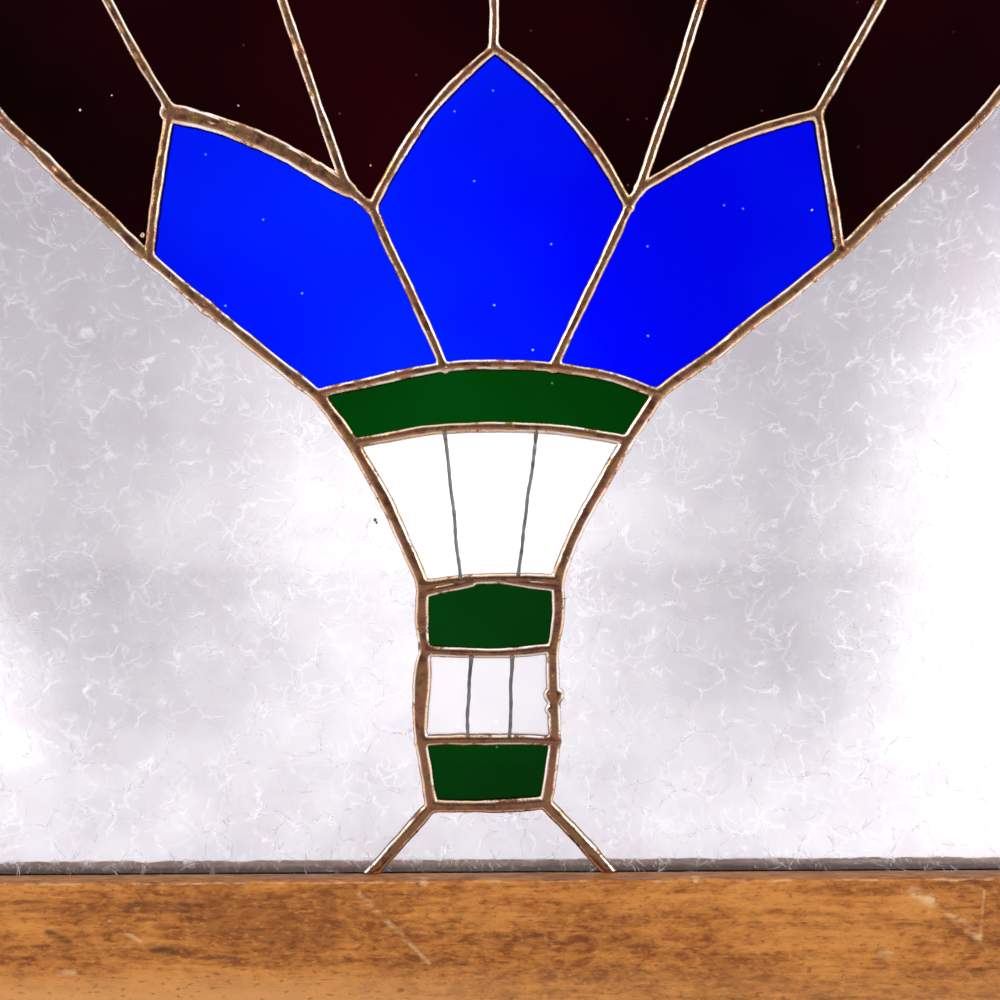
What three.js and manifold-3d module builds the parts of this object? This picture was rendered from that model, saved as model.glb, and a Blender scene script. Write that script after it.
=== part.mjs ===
// A copper-foiled stained glass window with a hot-air balloon, held in a grooved wooden sash.
// Millimetres, +Z up, front towards -Y, origin at the middle of the bottom rail's underside.
import * as THREE from 'three';
import { mergeVertices } from 'three/addons/utils/BufferGeometryUtils.js';
import Module from 'manifold-3d';

const wasm = await Module();
wasm.setup();

// Driving dimensions
const BALLOON_HEIGHT = 725.5;
const SIDE_MARGIN = 37;
const TOP_MARGIN = 60;
const STILE_WIDTH = 55;
const TOP_RAIL_HEIGHT = 55;
const BOTTOM_RAIL_HEIGHT = 75;
const SASH_DEPTH = 35;
const EASED_EDGE = 1.2;
const GLASS_THICKNESS = 3;
const GLASS_SETBACK = 12;
const GLASS_HOLD = 8;
const GROOVE_END_CLEARANCE = 1;
const INNER_SEAM_WIDTH = 4.4;
const OUTER_SEAM_WIDTH = 5.4;
const SEAM_WEB = 1;
const BEAD_HEIGHT = 1.5;
const BEAD_CREST_SHARE = 0.5;
const CROWN_CAP_WIDTH = 170;
const CROWN_CAP_SAG = 20;
const ROPE_WIRE_DIAMETER = 1.4;
const CLEARANCE = 0.3;
const BEDDING = 0.3;
const SNAP = 0.001;

// The picture's lines are kept as thousandths of the balloon's height, from the rail's top edge up
const UNIT = BALLOON_HEIGHT / 1000;
const ENVELOPE_RADIUS = 354.5 * UNIT;
const ENVELOPE_MIDDLE = BALLOON_HEIGHT - ENVELOPE_RADIUS;
const FLANK_HEIGHT = 415.5 * UNIT;
const GORE_SHARES = [-0.777, -0.424, 0, 0.424, 0.777];
const GORE_LEAN = [0.59, 0.36];

// The opening and the panel that fills it
const SIGHT_WIDTH = 2 * (ENVELOPE_RADIUS + SIDE_MARGIN);
const SIGHT_HEIGHT = BALLOON_HEIGHT + TOP_MARGIN;
const PANEL_HALF = SIGHT_WIDTH / 2 + GLASS_HOLD;
const PANEL_TOP = SIGHT_HEIGHT + GLASS_HOLD;
const PANEL_BOTTOM = -GLASS_HOLD;
const SASH_HEIGHT = BOTTOM_RAIL_HEIGHT + SIGHT_HEIGHT + TOP_RAIL_HEIGHT;
const GLASS_DEPTH = -SASH_DEPTH / 2 + GLASS_SETBACK + GLASS_THICKNESS / 2;
const GROOVE_WIDTH = GLASS_THICKNESS + 2 * CLEARANCE;
const GROOVE_DEPTH = GLASS_HOLD + GROOVE_END_CLEARANCE;

// Colours of the pieces
const material = (color, roughness, metalness = 0) => new THREE.MeshStandardMaterial({ color, roughness, metalness });
const CLEAR = () => material(0xd8d6dc, 0.35);
const RUBY = () => material(0x2a0408, 0.15);
const BLUE = () => material(0x0a1ee0, 0.15);
const GREEN = () => material(0x0b4a14, 0.15);
const OPAL = () => material(0xf6f4f0, 0.25);
const SOLDER = () => material(0x8a5c42, 0.4, 0.9);
const WIRE = () => material(0x8f8c86, 0.45, 0.9);
const WOOD = () => material(0xa8682c, 0.55);

// Solids: closed meshes joined and cut
function solid(geometry) {
  const bare = geometry.index ? geometry.toNonIndexed() : geometry.clone();
  bare.deleteAttribute('normal');
  bare.deleteAttribute('uv');
  const merged = mergeVertices(bare, 1e-4);
  const vertProperties = new Float32Array(merged.attributes.position.array);
  const triVerts = new Uint32Array(merged.index.array);
  return new wasm.Manifold(new wasm.Mesh({ numProp: 3, vertProperties, triVerts }));
}

function surface(body) {
  const mesh = body.getMesh();
  const geometry = new THREE.BufferGeometry();
  geometry.setAttribute('position', new THREE.BufferAttribute(mesh.vertProperties, 3));
  geometry.setIndex(new THREE.BufferAttribute(mesh.triVerts, 1));
  geometry.computeVertexNormals();
  return geometry;
}

function block(width, depth, height, x, y, z) {
  return solid(new THREE.BoxGeometry(width, depth, height).translate(x, y, z));
}

// The joints of the picture, as thousandths across from its axis and up
const JOINTS = {
  footLeft: [-69.8, 0],
  footRight: [61.5, 0],
  basketBottomLeft: [-35.9, 36.9],
  basketBottomRight: [26.6, 38.5],
  basketTopLeft: [-42.1, 72.7],
  basketTopRight: [32.1, 72.1],
  burnerBottomLeft: [-39.2, 122.9],
  burnerBottomRight: [31.0, 123.6],
  burnerTopLeft: [-40.6, 158.7],
  burnerTopRight: [33.6, 161.1],
  skirtTopLeft: [-78.4, 236.8],
  skirtTopRight: [73.2, 237.6],
  bandTopLeft: [-97.5, 263.8],
  bandTopRight: [90.5, 263.8],
  bandMiddleLeft: [-27.4, 278.6],
  bandMiddleRight: [32.1, 278.3],
  shoulderLeft: [-190.2, 339.8],
  shoulderRight: [190.4, 340.5],
  petalTipLeft: [-178.3, 421.4],
  petalTipCentre: [0.6, 454.6],
  petalTipRight: [178.6, 417.6],
  petalJoinLeft: [-67.2, 366.4],
  petalJoinRight: [74.5, 366.5],
  goreFootLeft: [-81.0, 378.4],
  goreFootRight: [80.0, 376.0],
};

const joints = {};
for (const [name, [across, up]] of Object.entries(JOINTS)) {
  joints[name] = new THREE.Vector3(across * UNIT, up * UNIT, 0);
}

// A leg runs on past the rail's edge, down to the edge of the glass in the groove
function runOn(foot, above, level) {
  const along = new THREE.Vector3().subVectors(foot, above);
  return above.clone().addScaledVector(along, (level - above.y) / along.y);
}

// The envelope: half its width at a height on the round part
function halfWidth(height) {
  return Math.sqrt(ENVELOPE_RADIUS ** 2 - (height - ENVELOPE_MIDDLE) ** 2);
}

// The crown cap's lower edge, a sagging arc between two points of the envelope
const CAP_END_HEIGHT = ENVELOPE_MIDDLE + Math.sqrt(ENVELOPE_RADIUS ** 2 - (CROWN_CAP_WIDTH / 2) ** 2);
function capEdge(across) {
  const share = across / (CROWN_CAP_WIDTH / 2);
  return new THREE.Vector3(across, CAP_END_HEIGHT - CROWN_CAP_SAG * (1 - share ** 2), 0);
}

joints.legEndLeft = runOn(joints.footLeft, joints.basketBottomLeft, PANEL_BOTTOM);
joints.legEndRight = runOn(joints.footRight, joints.basketBottomRight, PANEL_BOTTOM);
joints.middleLeft = new THREE.Vector3(-ENVELOPE_RADIUS, ENVELOPE_MIDDLE, 0);
joints.middleRight = new THREE.Vector3(ENVELOPE_RADIUS, ENVELOPE_MIDDLE, 0);
joints.sideLeft = new THREE.Vector3(-PANEL_HALF, ENVELOPE_MIDDLE, 0);
joints.sideRight = new THREE.Vector3(PANEL_HALF, ENVELOPE_MIDDLE, 0);
joints.crown = new THREE.Vector3(0, BALLOON_HEIGHT, 0);
joints.crownEnd = new THREE.Vector3(0, PANEL_TOP, 0);
joints.capLeft = capEdge(-CROWN_CAP_WIDTH / 2);
joints.capRight = capEdge(CROWN_CAP_WIDTH / 2);
joints.cornerBottomLeft = new THREE.Vector3(-PANEL_HALF, PANEL_BOTTOM, 0);
joints.cornerBottomRight = new THREE.Vector3(PANEL_HALF, PANEL_BOTTOM, 0);
joints.cornerTopLeft = new THREE.Vector3(-PANEL_HALF, PANEL_TOP, 0);
joints.cornerTopRight = new THREE.Vector3(PANEL_HALF, PANEL_TOP, 0);

// A gore seam meets the cap where its share of the envelope's width crosses the cap's lower edge
function goreTop(share) {
  let across = (share * CROWN_CAP_WIDTH) / 2;
  for (let round = 0; round < 12; round += 1) {
    across = share * halfWidth(capEdge(across).y);
  }
  return capEdge(across);
}
GORE_SHARES.forEach((share, i) => {
  joints[`goreTop${i + 1}`] = goreTop(share);
});

// A seam is the row of points on its centre line, one for each step
const seams = {};
function addSeam(name, curve, steps) {
  seams[name] = curve.getSpacedPoints(steps);
}

// A seam between two joints; its bow is to the left of the way it runs, in thousandths
function bowedSeam(name, from, to, bow) {
  const start = joints[from];
  const end = joints[to];
  const along = new THREE.Vector3().subVectors(end, start).normalize();
  const aside = new THREE.Vector3(-along.y, along.x, 0);
  const middle = start.clone().lerp(end, 0.5).addScaledVector(aside, 2 * bow * UNIT);
  const steps = bow === 0 ? 1 : Math.round(2 + Math.abs(bow) / 2);
  addSeam(name, new THREE.QuadraticBezierCurve3(start, middle, end), steps);
}

const BOWED_SEAMS = [
  ['basketTop', 'basketTopLeft', 'basketTopRight', 1],
  ['burnerBottom', 'burnerBottomLeft', 'burnerBottomRight', -2.2],
  ['burnerTop', 'burnerTopLeft', 'burnerTopRight', 2],
  ['bandBottom', 'skirtTopLeft', 'skirtTopRight', 8.6],
  ['bandTopLeft', 'bandTopLeft', 'bandMiddleLeft', 1.4],
  ['bandTopMiddle', 'bandMiddleLeft', 'bandMiddleRight', 1.8],
  ['bandTopRight', 'bandMiddleRight', 'bandTopRight', 2],
  ['petalEdgeLeft', 'petalTipLeft', 'shoulderLeft', -0.8],
  ['petalEdgeRight', 'petalTipRight', 'shoulderRight', 0.6],
  ['petalTopLeft', 'petalTipLeft', 'goreFootLeft', 5.2],
  ['petalBackLeft', 'goreFootLeft', 'petalJoinLeft', 0],
  ['petalTopRight', 'petalTipRight', 'goreFootRight', -5],
  ['petalBackRight', 'goreFootRight', 'petalJoinRight', 0],
  ['petalCentreLeft', 'petalJoinLeft', 'petalTipCentre', 6.6],
  ['petalCentreRight', 'petalJoinRight', 'petalTipCentre', -7.4],
  ['petalSeamLeft', 'petalJoinLeft', 'bandMiddleLeft', 0],
  ['petalSeamRight', 'petalJoinRight', 'bandMiddleRight', 0],
  ['legLeft', 'legEndLeft', 'basketBottomLeft', 0],
  ['legRight', 'legEndRight', 'basketBottomRight', 0],
  ['basketBottom', 'basketBottomLeft', 'basketBottomRight', -1.2],
  ['basketSideLeft', 'basketTopLeft', 'basketBottomLeft', 0],
  ['basketSideRight', 'basketTopRight', 'basketBottomRight', 0],
  ['ropeSideLeft', 'burnerBottomLeft', 'basketTopLeft', 0],
  ['ropeSideRight', 'burnerBottomRight', 'basketTopRight', 0],
  ['burnerSideLeft', 'burnerTopLeft', 'burnerBottomLeft', -0.8],
  ['burnerSideRight', 'burnerTopRight', 'burnerBottomRight', 1.6],
  ['skirtSideLeft', 'skirtTopLeft', 'burnerTopLeft', 2.2],
  ['skirtSideRight', 'skirtTopRight', 'burnerTopRight', -2.6],
  ['bandSideLeft', 'bandTopLeft', 'skirtTopLeft', 0],
  ['bandSideRight', 'bandTopRight', 'skirtTopRight', 0],
  ['envelopeLowerLeft', 'bandTopLeft', 'shoulderLeft', 1],
  ['envelopeLowerRight', 'bandTopRight', 'shoulderRight', -1.2],
  ['sideSeamLeft', 'middleLeft', 'sideLeft', 0],
  ['sideSeamRight', 'middleRight', 'sideRight', 0],
  ['crownSeam', 'crown', 'crownEnd', 0],
];

for (const [name, from, to, bow] of BOWED_SEAMS) {
  bowedSeam(name, from, to, bow);
}

// Points on the round part of the envelope, from one angle above the middle to another
function roundPoints(side, fromAngle, toAngle, count) {
  return Array.from({ length: count + 1 }, (_, i) => {
    const angle = THREE.MathUtils.lerp(fromAngle, toAngle, i / count);
    const across = side * ENVELOPE_RADIUS * Math.cos(angle);
    return new THREE.Vector3(across, ENVELOPE_MIDDLE + ENVELOPE_RADIUS * Math.sin(angle), 0);
  });
}

const FLANK_ANGLE = Math.asin((FLANK_HEIGHT - ENVELOPE_MIDDLE) / ENVELOPE_RADIUS);
const CAP_ANGLE = Math.asin((CAP_END_HEIGHT - ENVELOPE_MIDDLE) / ENVELOPE_RADIUS);
for (const [end, side] of [['Left', -1], ['Right', 1]]) {
  const flank = [joints[`shoulder${end}`], ...roundPoints(side, FLANK_ANGLE, 0, 5)];
  addSeam(`envelopeFlank${end}`, new THREE.CatmullRomCurve3(flank), 8);
  const upper = new THREE.CatmullRomCurve3(roundPoints(side, 0, CAP_ANGLE, 8));
  addSeam(`envelopeUpper${end}`, upper, 9);
  const crown = new THREE.CatmullRomCurve3(roundPoints(side, CAP_ANGLE, Math.PI / 2, 3));
  addSeam(`envelopeCrown${end}`, crown, 3);
}

// The gore seams rise from their feet, stand upright at the envelope's middle and close in to the cap
const GORE_FEET = ['petalTipLeft', 'goreFootLeft', 'petalTipCentre', 'goreFootRight', 'petalTipRight'];
GORE_FEET.forEach((footName, i) => {
  const foot = joints[footName];
  const share = GORE_SHARES[i];
  const widest = share * ENVELOPE_RADIUS;
  const top = joints[`goreTop${i + 1}`];
  const lean = GORE_LEAN[i % 2];
  const turn = foot.y + Math.abs(widest - foot.x) / lean;
  const lower = new THREE.QuadraticBezierCurve3(
    foot,
    new THREE.Vector3(widest, share === 0 ? (foot.y + ENVELOPE_MIDDLE) / 2 : turn, 0),
    new THREE.Vector3(widest, ENVELOPE_MIDDLE, 0),
  );
  const points = lower.getPoints(4);
  const rise = top.y - ENVELOPE_MIDDLE;
  for (const level of [0.3, 0.55, 0.76, 0.9]) {
    const height = ENVELOPE_MIDDLE + level * rise;
    points.push(new THREE.Vector3(share * halfWidth(height), height, 0));
  }
  points.push(top);
  addSeam(`gore${i + 1}`, new THREE.CatmullRomCurve3(points), share === 0 ? 1 : 9);
});

// The crown cap's lower edge, cut up by the tops of the gore seams
const CAP_JOINTS = ['capLeft', 'goreTop1', 'goreTop2', 'goreTop3', 'goreTop4', 'goreTop5', 'capRight'];
for (let i = 0; i + 1 < CAP_JOINTS.length; i += 1) {
  const start = joints[CAP_JOINTS[i]];
  const end = joints[CAP_JOINTS[i + 1]];
  const middle = capEdge((start.x + end.x) / 2);
  addSeam(`capEdge${i + 1}`, new THREE.CatmullRomCurve3([start, middle, end]), 2);
}

// The distance from a point to the nearer end of a run of points
function toEnds(point, run) {
  return Math.min(point.distanceTo(run[0]), point.distanceTo(run[run.length - 1]));
}

// Seams and single joints laid end to end, each turned so that it ends where the next one starts
function chain(names, closed) {
  const runs = names.map((name) => seams[name] ?? [joints[name]]);
  const line = [];
  runs.forEach((run, i) => {
    const next = closed ? runs[(i + 1) % runs.length] : runs[i + 1];
    const backwards = [...run].reverse();
    let turned = false;
    if (next) {
      turned = toEnds(run[0], next) < toEnds(backwards[0], next);
    } else if (line.length > 0) {
      turned = line[line.length - 1].distanceTo(backwards[0]) < line[line.length - 1].distanceTo(run[0]);
    }
    for (const point of turned ? backwards : run) {
      if (line.length === 0 || line[line.length - 1].distanceTo(point) > CLEARANCE / 10) {
        line.push(point);
      }
    }
  });
  if (closed && line[0].distanceTo(line[line.length - 1]) < CLEARANCE / 10) {
    line.pop();
  }
  return line;
}

// The solder is run in long strokes, each over several seams, and a stroke's ends bed into the ones it meets
const silhouetteSide = (end) => [
  `basketSide${end}`, `ropeSide${end}`, `burnerSide${end}`, `skirtSide${end}`, `bandSide${end}`,
  `envelopeLower${end}`, `envelopeFlank${end}`, `envelopeUpper${end}`, `envelopeCrown${end}`,
];
const capEdges = [1, 2, 3, 4, 5, 6].map((number) => `capEdge${number}`);
const STROKES = [
  [OUTER_SEAM_WIDTH, [...silhouetteSide('Left'), ...silhouetteSide('Right').reverse()]],
  [OUTER_SEAM_WIDTH, ['legLeft', 'basketBottom', 'legRight']],
  [OUTER_SEAM_WIDTH, ['sideSeamLeft']],
  [OUTER_SEAM_WIDTH, ['sideSeamRight']],
  [OUTER_SEAM_WIDTH, ['crownSeam']],
  [INNER_SEAM_WIDTH, ['basketTop']],
  [INNER_SEAM_WIDTH, ['burnerBottom']],
  [INNER_SEAM_WIDTH, ['burnerTop']],
  [INNER_SEAM_WIDTH, ['bandBottom']],
  [INNER_SEAM_WIDTH, ['bandTopLeft', 'bandTopMiddle', 'bandTopRight']],
  [INNER_SEAM_WIDTH, ['petalTopLeft', 'petalBackLeft', 'petalSeamLeft']],
  [INNER_SEAM_WIDTH, ['petalCentreLeft']],
  [INNER_SEAM_WIDTH, ['petalTopRight']],
  [INNER_SEAM_WIDTH, ['gore1', 'petalEdgeLeft']],
  [INNER_SEAM_WIDTH, ['gore2']],
  [INNER_SEAM_WIDTH, ['gore3', 'petalCentreRight']],
  [INNER_SEAM_WIDTH, ['gore4', 'petalBackRight', 'petalSeamRight']],
  [INNER_SEAM_WIDTH, ['gore5', 'petalEdgeRight']],
  [INNER_SEAM_WIDTH, capEdges],
].map(([width, names]) => ({ width, names, points: chain(names, false) }));

// A section swept along a stroke; its first coordinate is the depth and its second the width
function sweep(points, outline) {
  const last = points.length - 1;
  const line = points.map((point) => point.clone());
  const runUp = new THREE.Vector3().subVectors(points[0], points[1]).normalize();
  const runOut = new THREE.Vector3().subVectors(points[last], points[last - 1]).normalize();
  line[0].addScaledVector(runUp, BEDDING);
  line[last].addScaledVector(runOut, BEDDING);
  const path = new THREE.CatmullRomCurve3(line);
  path.getUtoTmapping = (share) => share;
  const shape = new THREE.Shape(outline.map(([deep, wide]) => new THREE.Vector2(deep, wide)));
  const geometry = new THREE.ExtrudeGeometry(shape, { steps: last, extrudePath: path, bevelEnabled: false });
  const places = geometry.attributes.position.array;
  places.forEach((value, i) => {
    places[i] = Math.round(value / SNAP) * SNAP;
  });
  return solid(geometry);
}

function bar(halfDepth, halfWide) {
  return [[halfDepth, -halfWide], [halfDepth, halfWide], [-halfDepth, halfWide], [-halfDepth, -halfWide]];
}

// Solder: a bead on each face of the glass and a web between the edges
const LAP = GLASS_THICKNESS / 2 + CLEARANCE;
const CREST = LAP + BEAD_HEIGHT;

function beadSection(width) {
  const half = width / 2;
  const crest = half * BEAD_CREST_SHARE;
  const web = SEAM_WEB / 2;
  const upper = [[CREST, -crest], [CREST, crest], [LAP, half], [LAP, web]];
  const lower = [[-LAP, web], [-LAP, half], [-CREST, crest], [-CREST, -crest]];
  return [...upper, ...lower, [-LAP, -half], [-LAP, -web], [LAP, -web], [LAP, -half]];
}

function solderNetwork() {
  const bodies = STROKES.map(({ width, points }) => sweep(points, beadSection(width)));
  const network = bodies.reduce((joined, body) => joined.add(body));
  const width = SIGHT_WIDTH - 2 * CLEARANCE;
  const height = SIGHT_HEIGHT - 2 * CLEARANCE;
  return network.intersect(block(width, height, 4 * CREST, 0, SIGHT_HEIGHT / 2, 0));
}

// Panes: the seams and corners around each, in order
const SKY_LOWER = ['bandSide', 'skirtSide', 'burnerSide', 'ropeSide', 'basketSide', 'leg'];
const skyLower = (end) => [
  `cornerBottom${end}`, `sideSeam${end}`, `envelopeFlank${end}`, `envelopeLower${end}`,
  ...SKY_LOWER.map((name) => name + end),
];
const skyUpper = (end) => [
  `sideSeam${end}`, `cornerTop${end}`, 'crownSeam', `envelopeCrown${end}`, `envelopeUpper${end}`,
];
const outerGore = (end, gore, cap) => [
  `petalEdge${end}`, `envelopeFlank${end}`, `envelopeUpper${end}`, cap, gore,
];

const PANES = {
  sky_glass_lower_left: [CLEAR, skyLower('Left')],
  sky_glass_lower_right: [CLEAR, skyLower('Right')],
  sky_glass_bottom: [CLEAR, ['legLeft', 'basketBottom', 'legRight', 'legEndRight', 'legEndLeft']],
  sky_glass_upper_left: [CLEAR, skyUpper('Left')],
  sky_glass_upper_right: [CLEAR, skyUpper('Right')],
  ruby_gore_1: [RUBY, outerGore('Left', 'gore1', 'capEdge1')],
  ruby_gore_2: [RUBY, ['gore1', 'capEdge2', 'gore2', 'petalTopLeft']],
  ruby_gore_3: [RUBY, ['gore2', 'capEdge3', 'gore3', 'petalCentreLeft', 'petalBackLeft']],
  ruby_gore_4: [RUBY, ['gore3', 'capEdge4', 'gore4', 'petalBackRight', 'petalCentreRight']],
  ruby_gore_5: [RUBY, ['gore4', 'capEdge5', 'gore5', 'petalTopRight']],
  ruby_gore_6: [RUBY, outerGore('Right', 'gore5', 'capEdge6')],
  crown_cap: [BLUE, [
    'envelopeCrownLeft', 'capEdge1', 'capEdge2', 'capEdge3', 'capEdge4', 'capEdge5', 'capEdge6', 'envelopeCrownRight',
  ]],
  blue_petal_left: [BLUE, [
    'petalTopLeft', 'petalBackLeft', 'petalSeamLeft', 'bandTopLeft', 'envelopeLowerLeft', 'petalEdgeLeft',
  ]],
  blue_petal_centre: [BLUE, ['petalCentreLeft', 'petalCentreRight', 'petalSeamRight', 'bandTopMiddle', 'petalSeamLeft']],
  blue_petal_right: [BLUE, [
    'petalTopRight', 'petalBackRight', 'petalSeamRight', 'bandTopRight', 'envelopeLowerRight', 'petalEdgeRight',
  ]],
  mouth_band: [GREEN, ['bandTopLeft', 'bandTopMiddle', 'bandTopRight', 'bandSideRight', 'bandBottom', 'bandSideLeft']],
  skirt_glass: [OPAL, ['bandBottom', 'skirtSideRight', 'burnerTop', 'skirtSideLeft']],
  burner_glass: [GREEN, ['burnerTop', 'burnerSideRight', 'burnerBottom', 'burnerSideLeft']],
  rope_panel_glass: [OPAL, ['burnerBottom', 'ropeSideRight', 'basketTop', 'ropeSideLeft']],
  basket_glass: [GREEN, ['basketTop', 'basketSideRight', 'basketBottom', 'basketSideLeft']],
};

// A pane is its outline in glass, cut back from the webs of the strokes around it
function pane(around) {
  const shape = new THREE.Shape(chain(around, true).map((point) => new THREE.Vector2(point.x, point.y)));
  const sheet = new THREE.ExtrudeGeometry(shape, { depth: GLASS_THICKNESS, bevelEnabled: false });
  let glass = solid(sheet.translate(0, 0, -GLASS_THICKNESS / 2));
  for (const { names, points } of STROKES) {
    if (names.some((name) => around.includes(name))) {
      glass = glass.subtract(sweep(points, bar(GLASS_THICKNESS, SEAM_WEB / 2 + CLEARANCE)));
    }
  }
  return glass;
}

// The balloon's ropes are tinned wires on the front of the glass, between two seams
const ROPE_WIRES = {
  rope_wire_skirt_left: [[-28.0, 245], [-23.5, 203], [-19.5, 160], ['bandBottom', 'burnerTop']],
  rope_wire_skirt_right: [[23.2, 246], [17.5, 205], [12.2, 162], ['bandBottom', 'burnerTop']],
  rope_wire_panel_left: [[-13.4, 121], [-15.4, 99], [-16.0, 73], ['burnerBottom', 'basketTop']],
  rope_wire_panel_right: [[8.6, 121], [7.9, 99], [7.0, 73], ['burnerBottom', 'basketTop']],
};

function ropeWire(places, between) {
  const lift = GLASS_THICKNESS / 2 + CLEARANCE + ROPE_WIRE_DIAMETER / 2;
  const points = places.map(([across, up]) => new THREE.Vector3(across * UNIT, up * UNIT, lift));
  const round = new THREE.Shape().absarc(0, 0, ROPE_WIRE_DIAMETER / 2, 0, 2 * Math.PI);
  const path = new THREE.CatmullRomCurve3(points);
  const options = { steps: 4, curveSegments: 3, extrudePath: path, bevelEnabled: false };
  let wire = solid(new THREE.ExtrudeGeometry(round, options));
  for (const name of between) {
    wire = wire.subtract(sweep(seams[name], bar(2 * CREST, INNER_SEAM_WIDTH / 2 + CLEARANCE)));
  }
  return wire;
}

// A stile or rail: an eased section run along its length, with the groove for the glass in its inner edge
function member(width, below, above, grooveHalf) {
  const ease = EASED_EDGE;
  const half = SASH_DEPTH / 2;
  const outline = [
    [ease, -half], [width - ease, -half], [width, ease - half], [width, half - ease],
    [width - ease, half], [ease, half], [0, half - ease], [0, ease - half],
  ];
  const shape = new THREE.Shape(outline.map(([x, y]) => new THREE.Vector2(x, y)));
  const run = new THREE.ExtrudeGeometry(shape, { depth: below + above, bevelEnabled: false });
  const body = solid(run.translate(-width, 0, -below));
  return body.subtract(block(2 * GROOVE_DEPTH, GROOVE_WIDTH, 2 * grooveHalf, 0, GLASS_DEPTH, 0));
}

// The assembly
const stainedGlassWindow = new THREE.Group();

function place(parent, name, body, look) {
  const mesh = new THREE.Mesh(surface(body), look());
  mesh.name = name;
  parent.add(mesh);
  return mesh;
}

const panel = new THREE.Group();
panel.rotation.x = Math.PI / 2;
panel.position.set(0, GLASS_DEPTH, BOTTOM_RAIL_HEIGHT);
stainedGlassWindow.add(panel);
for (const [name, [look, around]] of Object.entries(PANES)) {
  place(panel, name, pane(around), look);
}
place(panel, 'solder_seams', solderNetwork(), SOLDER);
for (const [name, [top, bend, bottom, between]] of Object.entries(ROPE_WIRES)) {
  place(panel, name, ropeWire([top, bend, bottom], between), WIRE);
}

// The sash: two stiles the full height, with stopped grooves, and two rails between them
const OPENING_MIDDLE = BOTTOM_RAIL_HEIGHT + SIGHT_HEIGHT / 2;
const STILE_GROOVE = SIGHT_HEIGHT / 2 + GROOVE_DEPTH;
const STILE_BELOW = SIGHT_HEIGHT / 2 + BOTTOM_RAIL_HEIGHT;
const STILE_ABOVE = SIGHT_HEIGHT / 2 + TOP_RAIL_HEIGHT;
const RAIL_HALF = SIGHT_WIDTH / 2 - CLEARANCE;

const stileLeft = place(
  stainedGlassWindow, 'stile_left', member(STILE_WIDTH, STILE_BELOW, STILE_ABOVE, STILE_GROOVE), WOOD,
);
stileLeft.position.set(-SIGHT_WIDTH / 2, 0, OPENING_MIDDLE);

const stileRight = place(
  stainedGlassWindow, 'stile_right', member(STILE_WIDTH, STILE_ABOVE, STILE_BELOW, STILE_GROOVE), WOOD,
);
stileRight.rotation.y = Math.PI;
stileRight.position.set(SIGHT_WIDTH / 2, 0, OPENING_MIDDLE);

const bottomRail = place(
  stainedGlassWindow, 'bottom_rail', member(BOTTOM_RAIL_HEIGHT, RAIL_HALF, RAIL_HALF, SIGHT_WIDTH), WOOD,
);
bottomRail.rotation.y = -Math.PI / 2;
bottomRail.position.z = BOTTOM_RAIL_HEIGHT;

const topRail = place(
  stainedGlassWindow, 'top_rail', member(TOP_RAIL_HEIGHT, RAIL_HALF, RAIL_HALF, SIGHT_WIDTH), WOOD,
);
topRail.rotation.y = Math.PI / 2;
topRail.position.z = BOTTOM_RAIL_HEIGHT + SIGHT_HEIGHT;

export default stainedGlassWindow;
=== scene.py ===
# %% [markdown]
# # A stained glass window with a hot-air balloon
# The window is a wooden sash round a panel of coloured and frosted glass. The pieces of
# glass are edged with copper foil and soldered together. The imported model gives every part
# its place. Here each part gets its finish, and the parts with fine relief are built again.

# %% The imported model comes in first
import math
import bpy
import numpy as np
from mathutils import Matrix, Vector, geometry, noise


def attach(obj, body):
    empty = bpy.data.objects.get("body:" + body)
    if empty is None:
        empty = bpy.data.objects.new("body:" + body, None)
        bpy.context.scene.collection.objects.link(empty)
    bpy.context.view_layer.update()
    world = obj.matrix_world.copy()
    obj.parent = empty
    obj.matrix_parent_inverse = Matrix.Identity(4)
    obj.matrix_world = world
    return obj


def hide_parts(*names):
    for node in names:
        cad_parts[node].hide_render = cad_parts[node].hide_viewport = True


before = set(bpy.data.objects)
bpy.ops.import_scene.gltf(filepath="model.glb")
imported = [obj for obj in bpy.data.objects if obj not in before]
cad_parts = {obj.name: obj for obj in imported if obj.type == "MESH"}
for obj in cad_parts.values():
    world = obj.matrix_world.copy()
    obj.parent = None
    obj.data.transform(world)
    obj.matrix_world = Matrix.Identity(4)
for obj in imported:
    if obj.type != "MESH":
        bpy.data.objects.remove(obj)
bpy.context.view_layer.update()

MM = 0.001

# %% [markdown]
# ## The camera
# The photograph looks straight at the lower middle of the window from half a metre away, and
# it was held a third of a degree off level. A camera that is placed by those three facts
# needs no fitting by eye: the width of view and the sensor give the lens.

# %% The camera
SENSOR_WIDTH = 36.0
VIEW_WIDTH = 400 * MM
VIEW_DISTANCE = 550 * MM
GLASS_FRONT = -5.5 * MM
ROLL = math.radians(-0.315)


def into_scene(name, data):
    """Puts a new object of that name in the scene."""
    thing = bpy.data.objects.new(name, data)
    bpy.context.scene.collection.objects.link(thing)
    return thing


lens = bpy.data.cameras.new("Camera")
lens.sensor_width = SENSOR_WIDTH
lens.lens = SENSOR_WIDTH * VIEW_DISTANCE / VIEW_WIDTH
camera = into_scene("Camera", lens)
camera.location = (1.8 * MM, GLASS_FRONT - VIEW_DISTANCE, 224 * MM)
camera.rotation_euler = (math.pi / 2, 0, 0)
camera.rotation_euler.rotate_axis("Z", ROLL)
bpy.context.scene.camera = camera
print("lens:", round(lens.lens, 2), "mm")

# %% [markdown]
# ## Helpers for materials
# A material in Blender is a little graph of nodes. One helper adds a node, sets its values
# and joins its inputs, so each material below reads as a short list of steps.

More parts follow.
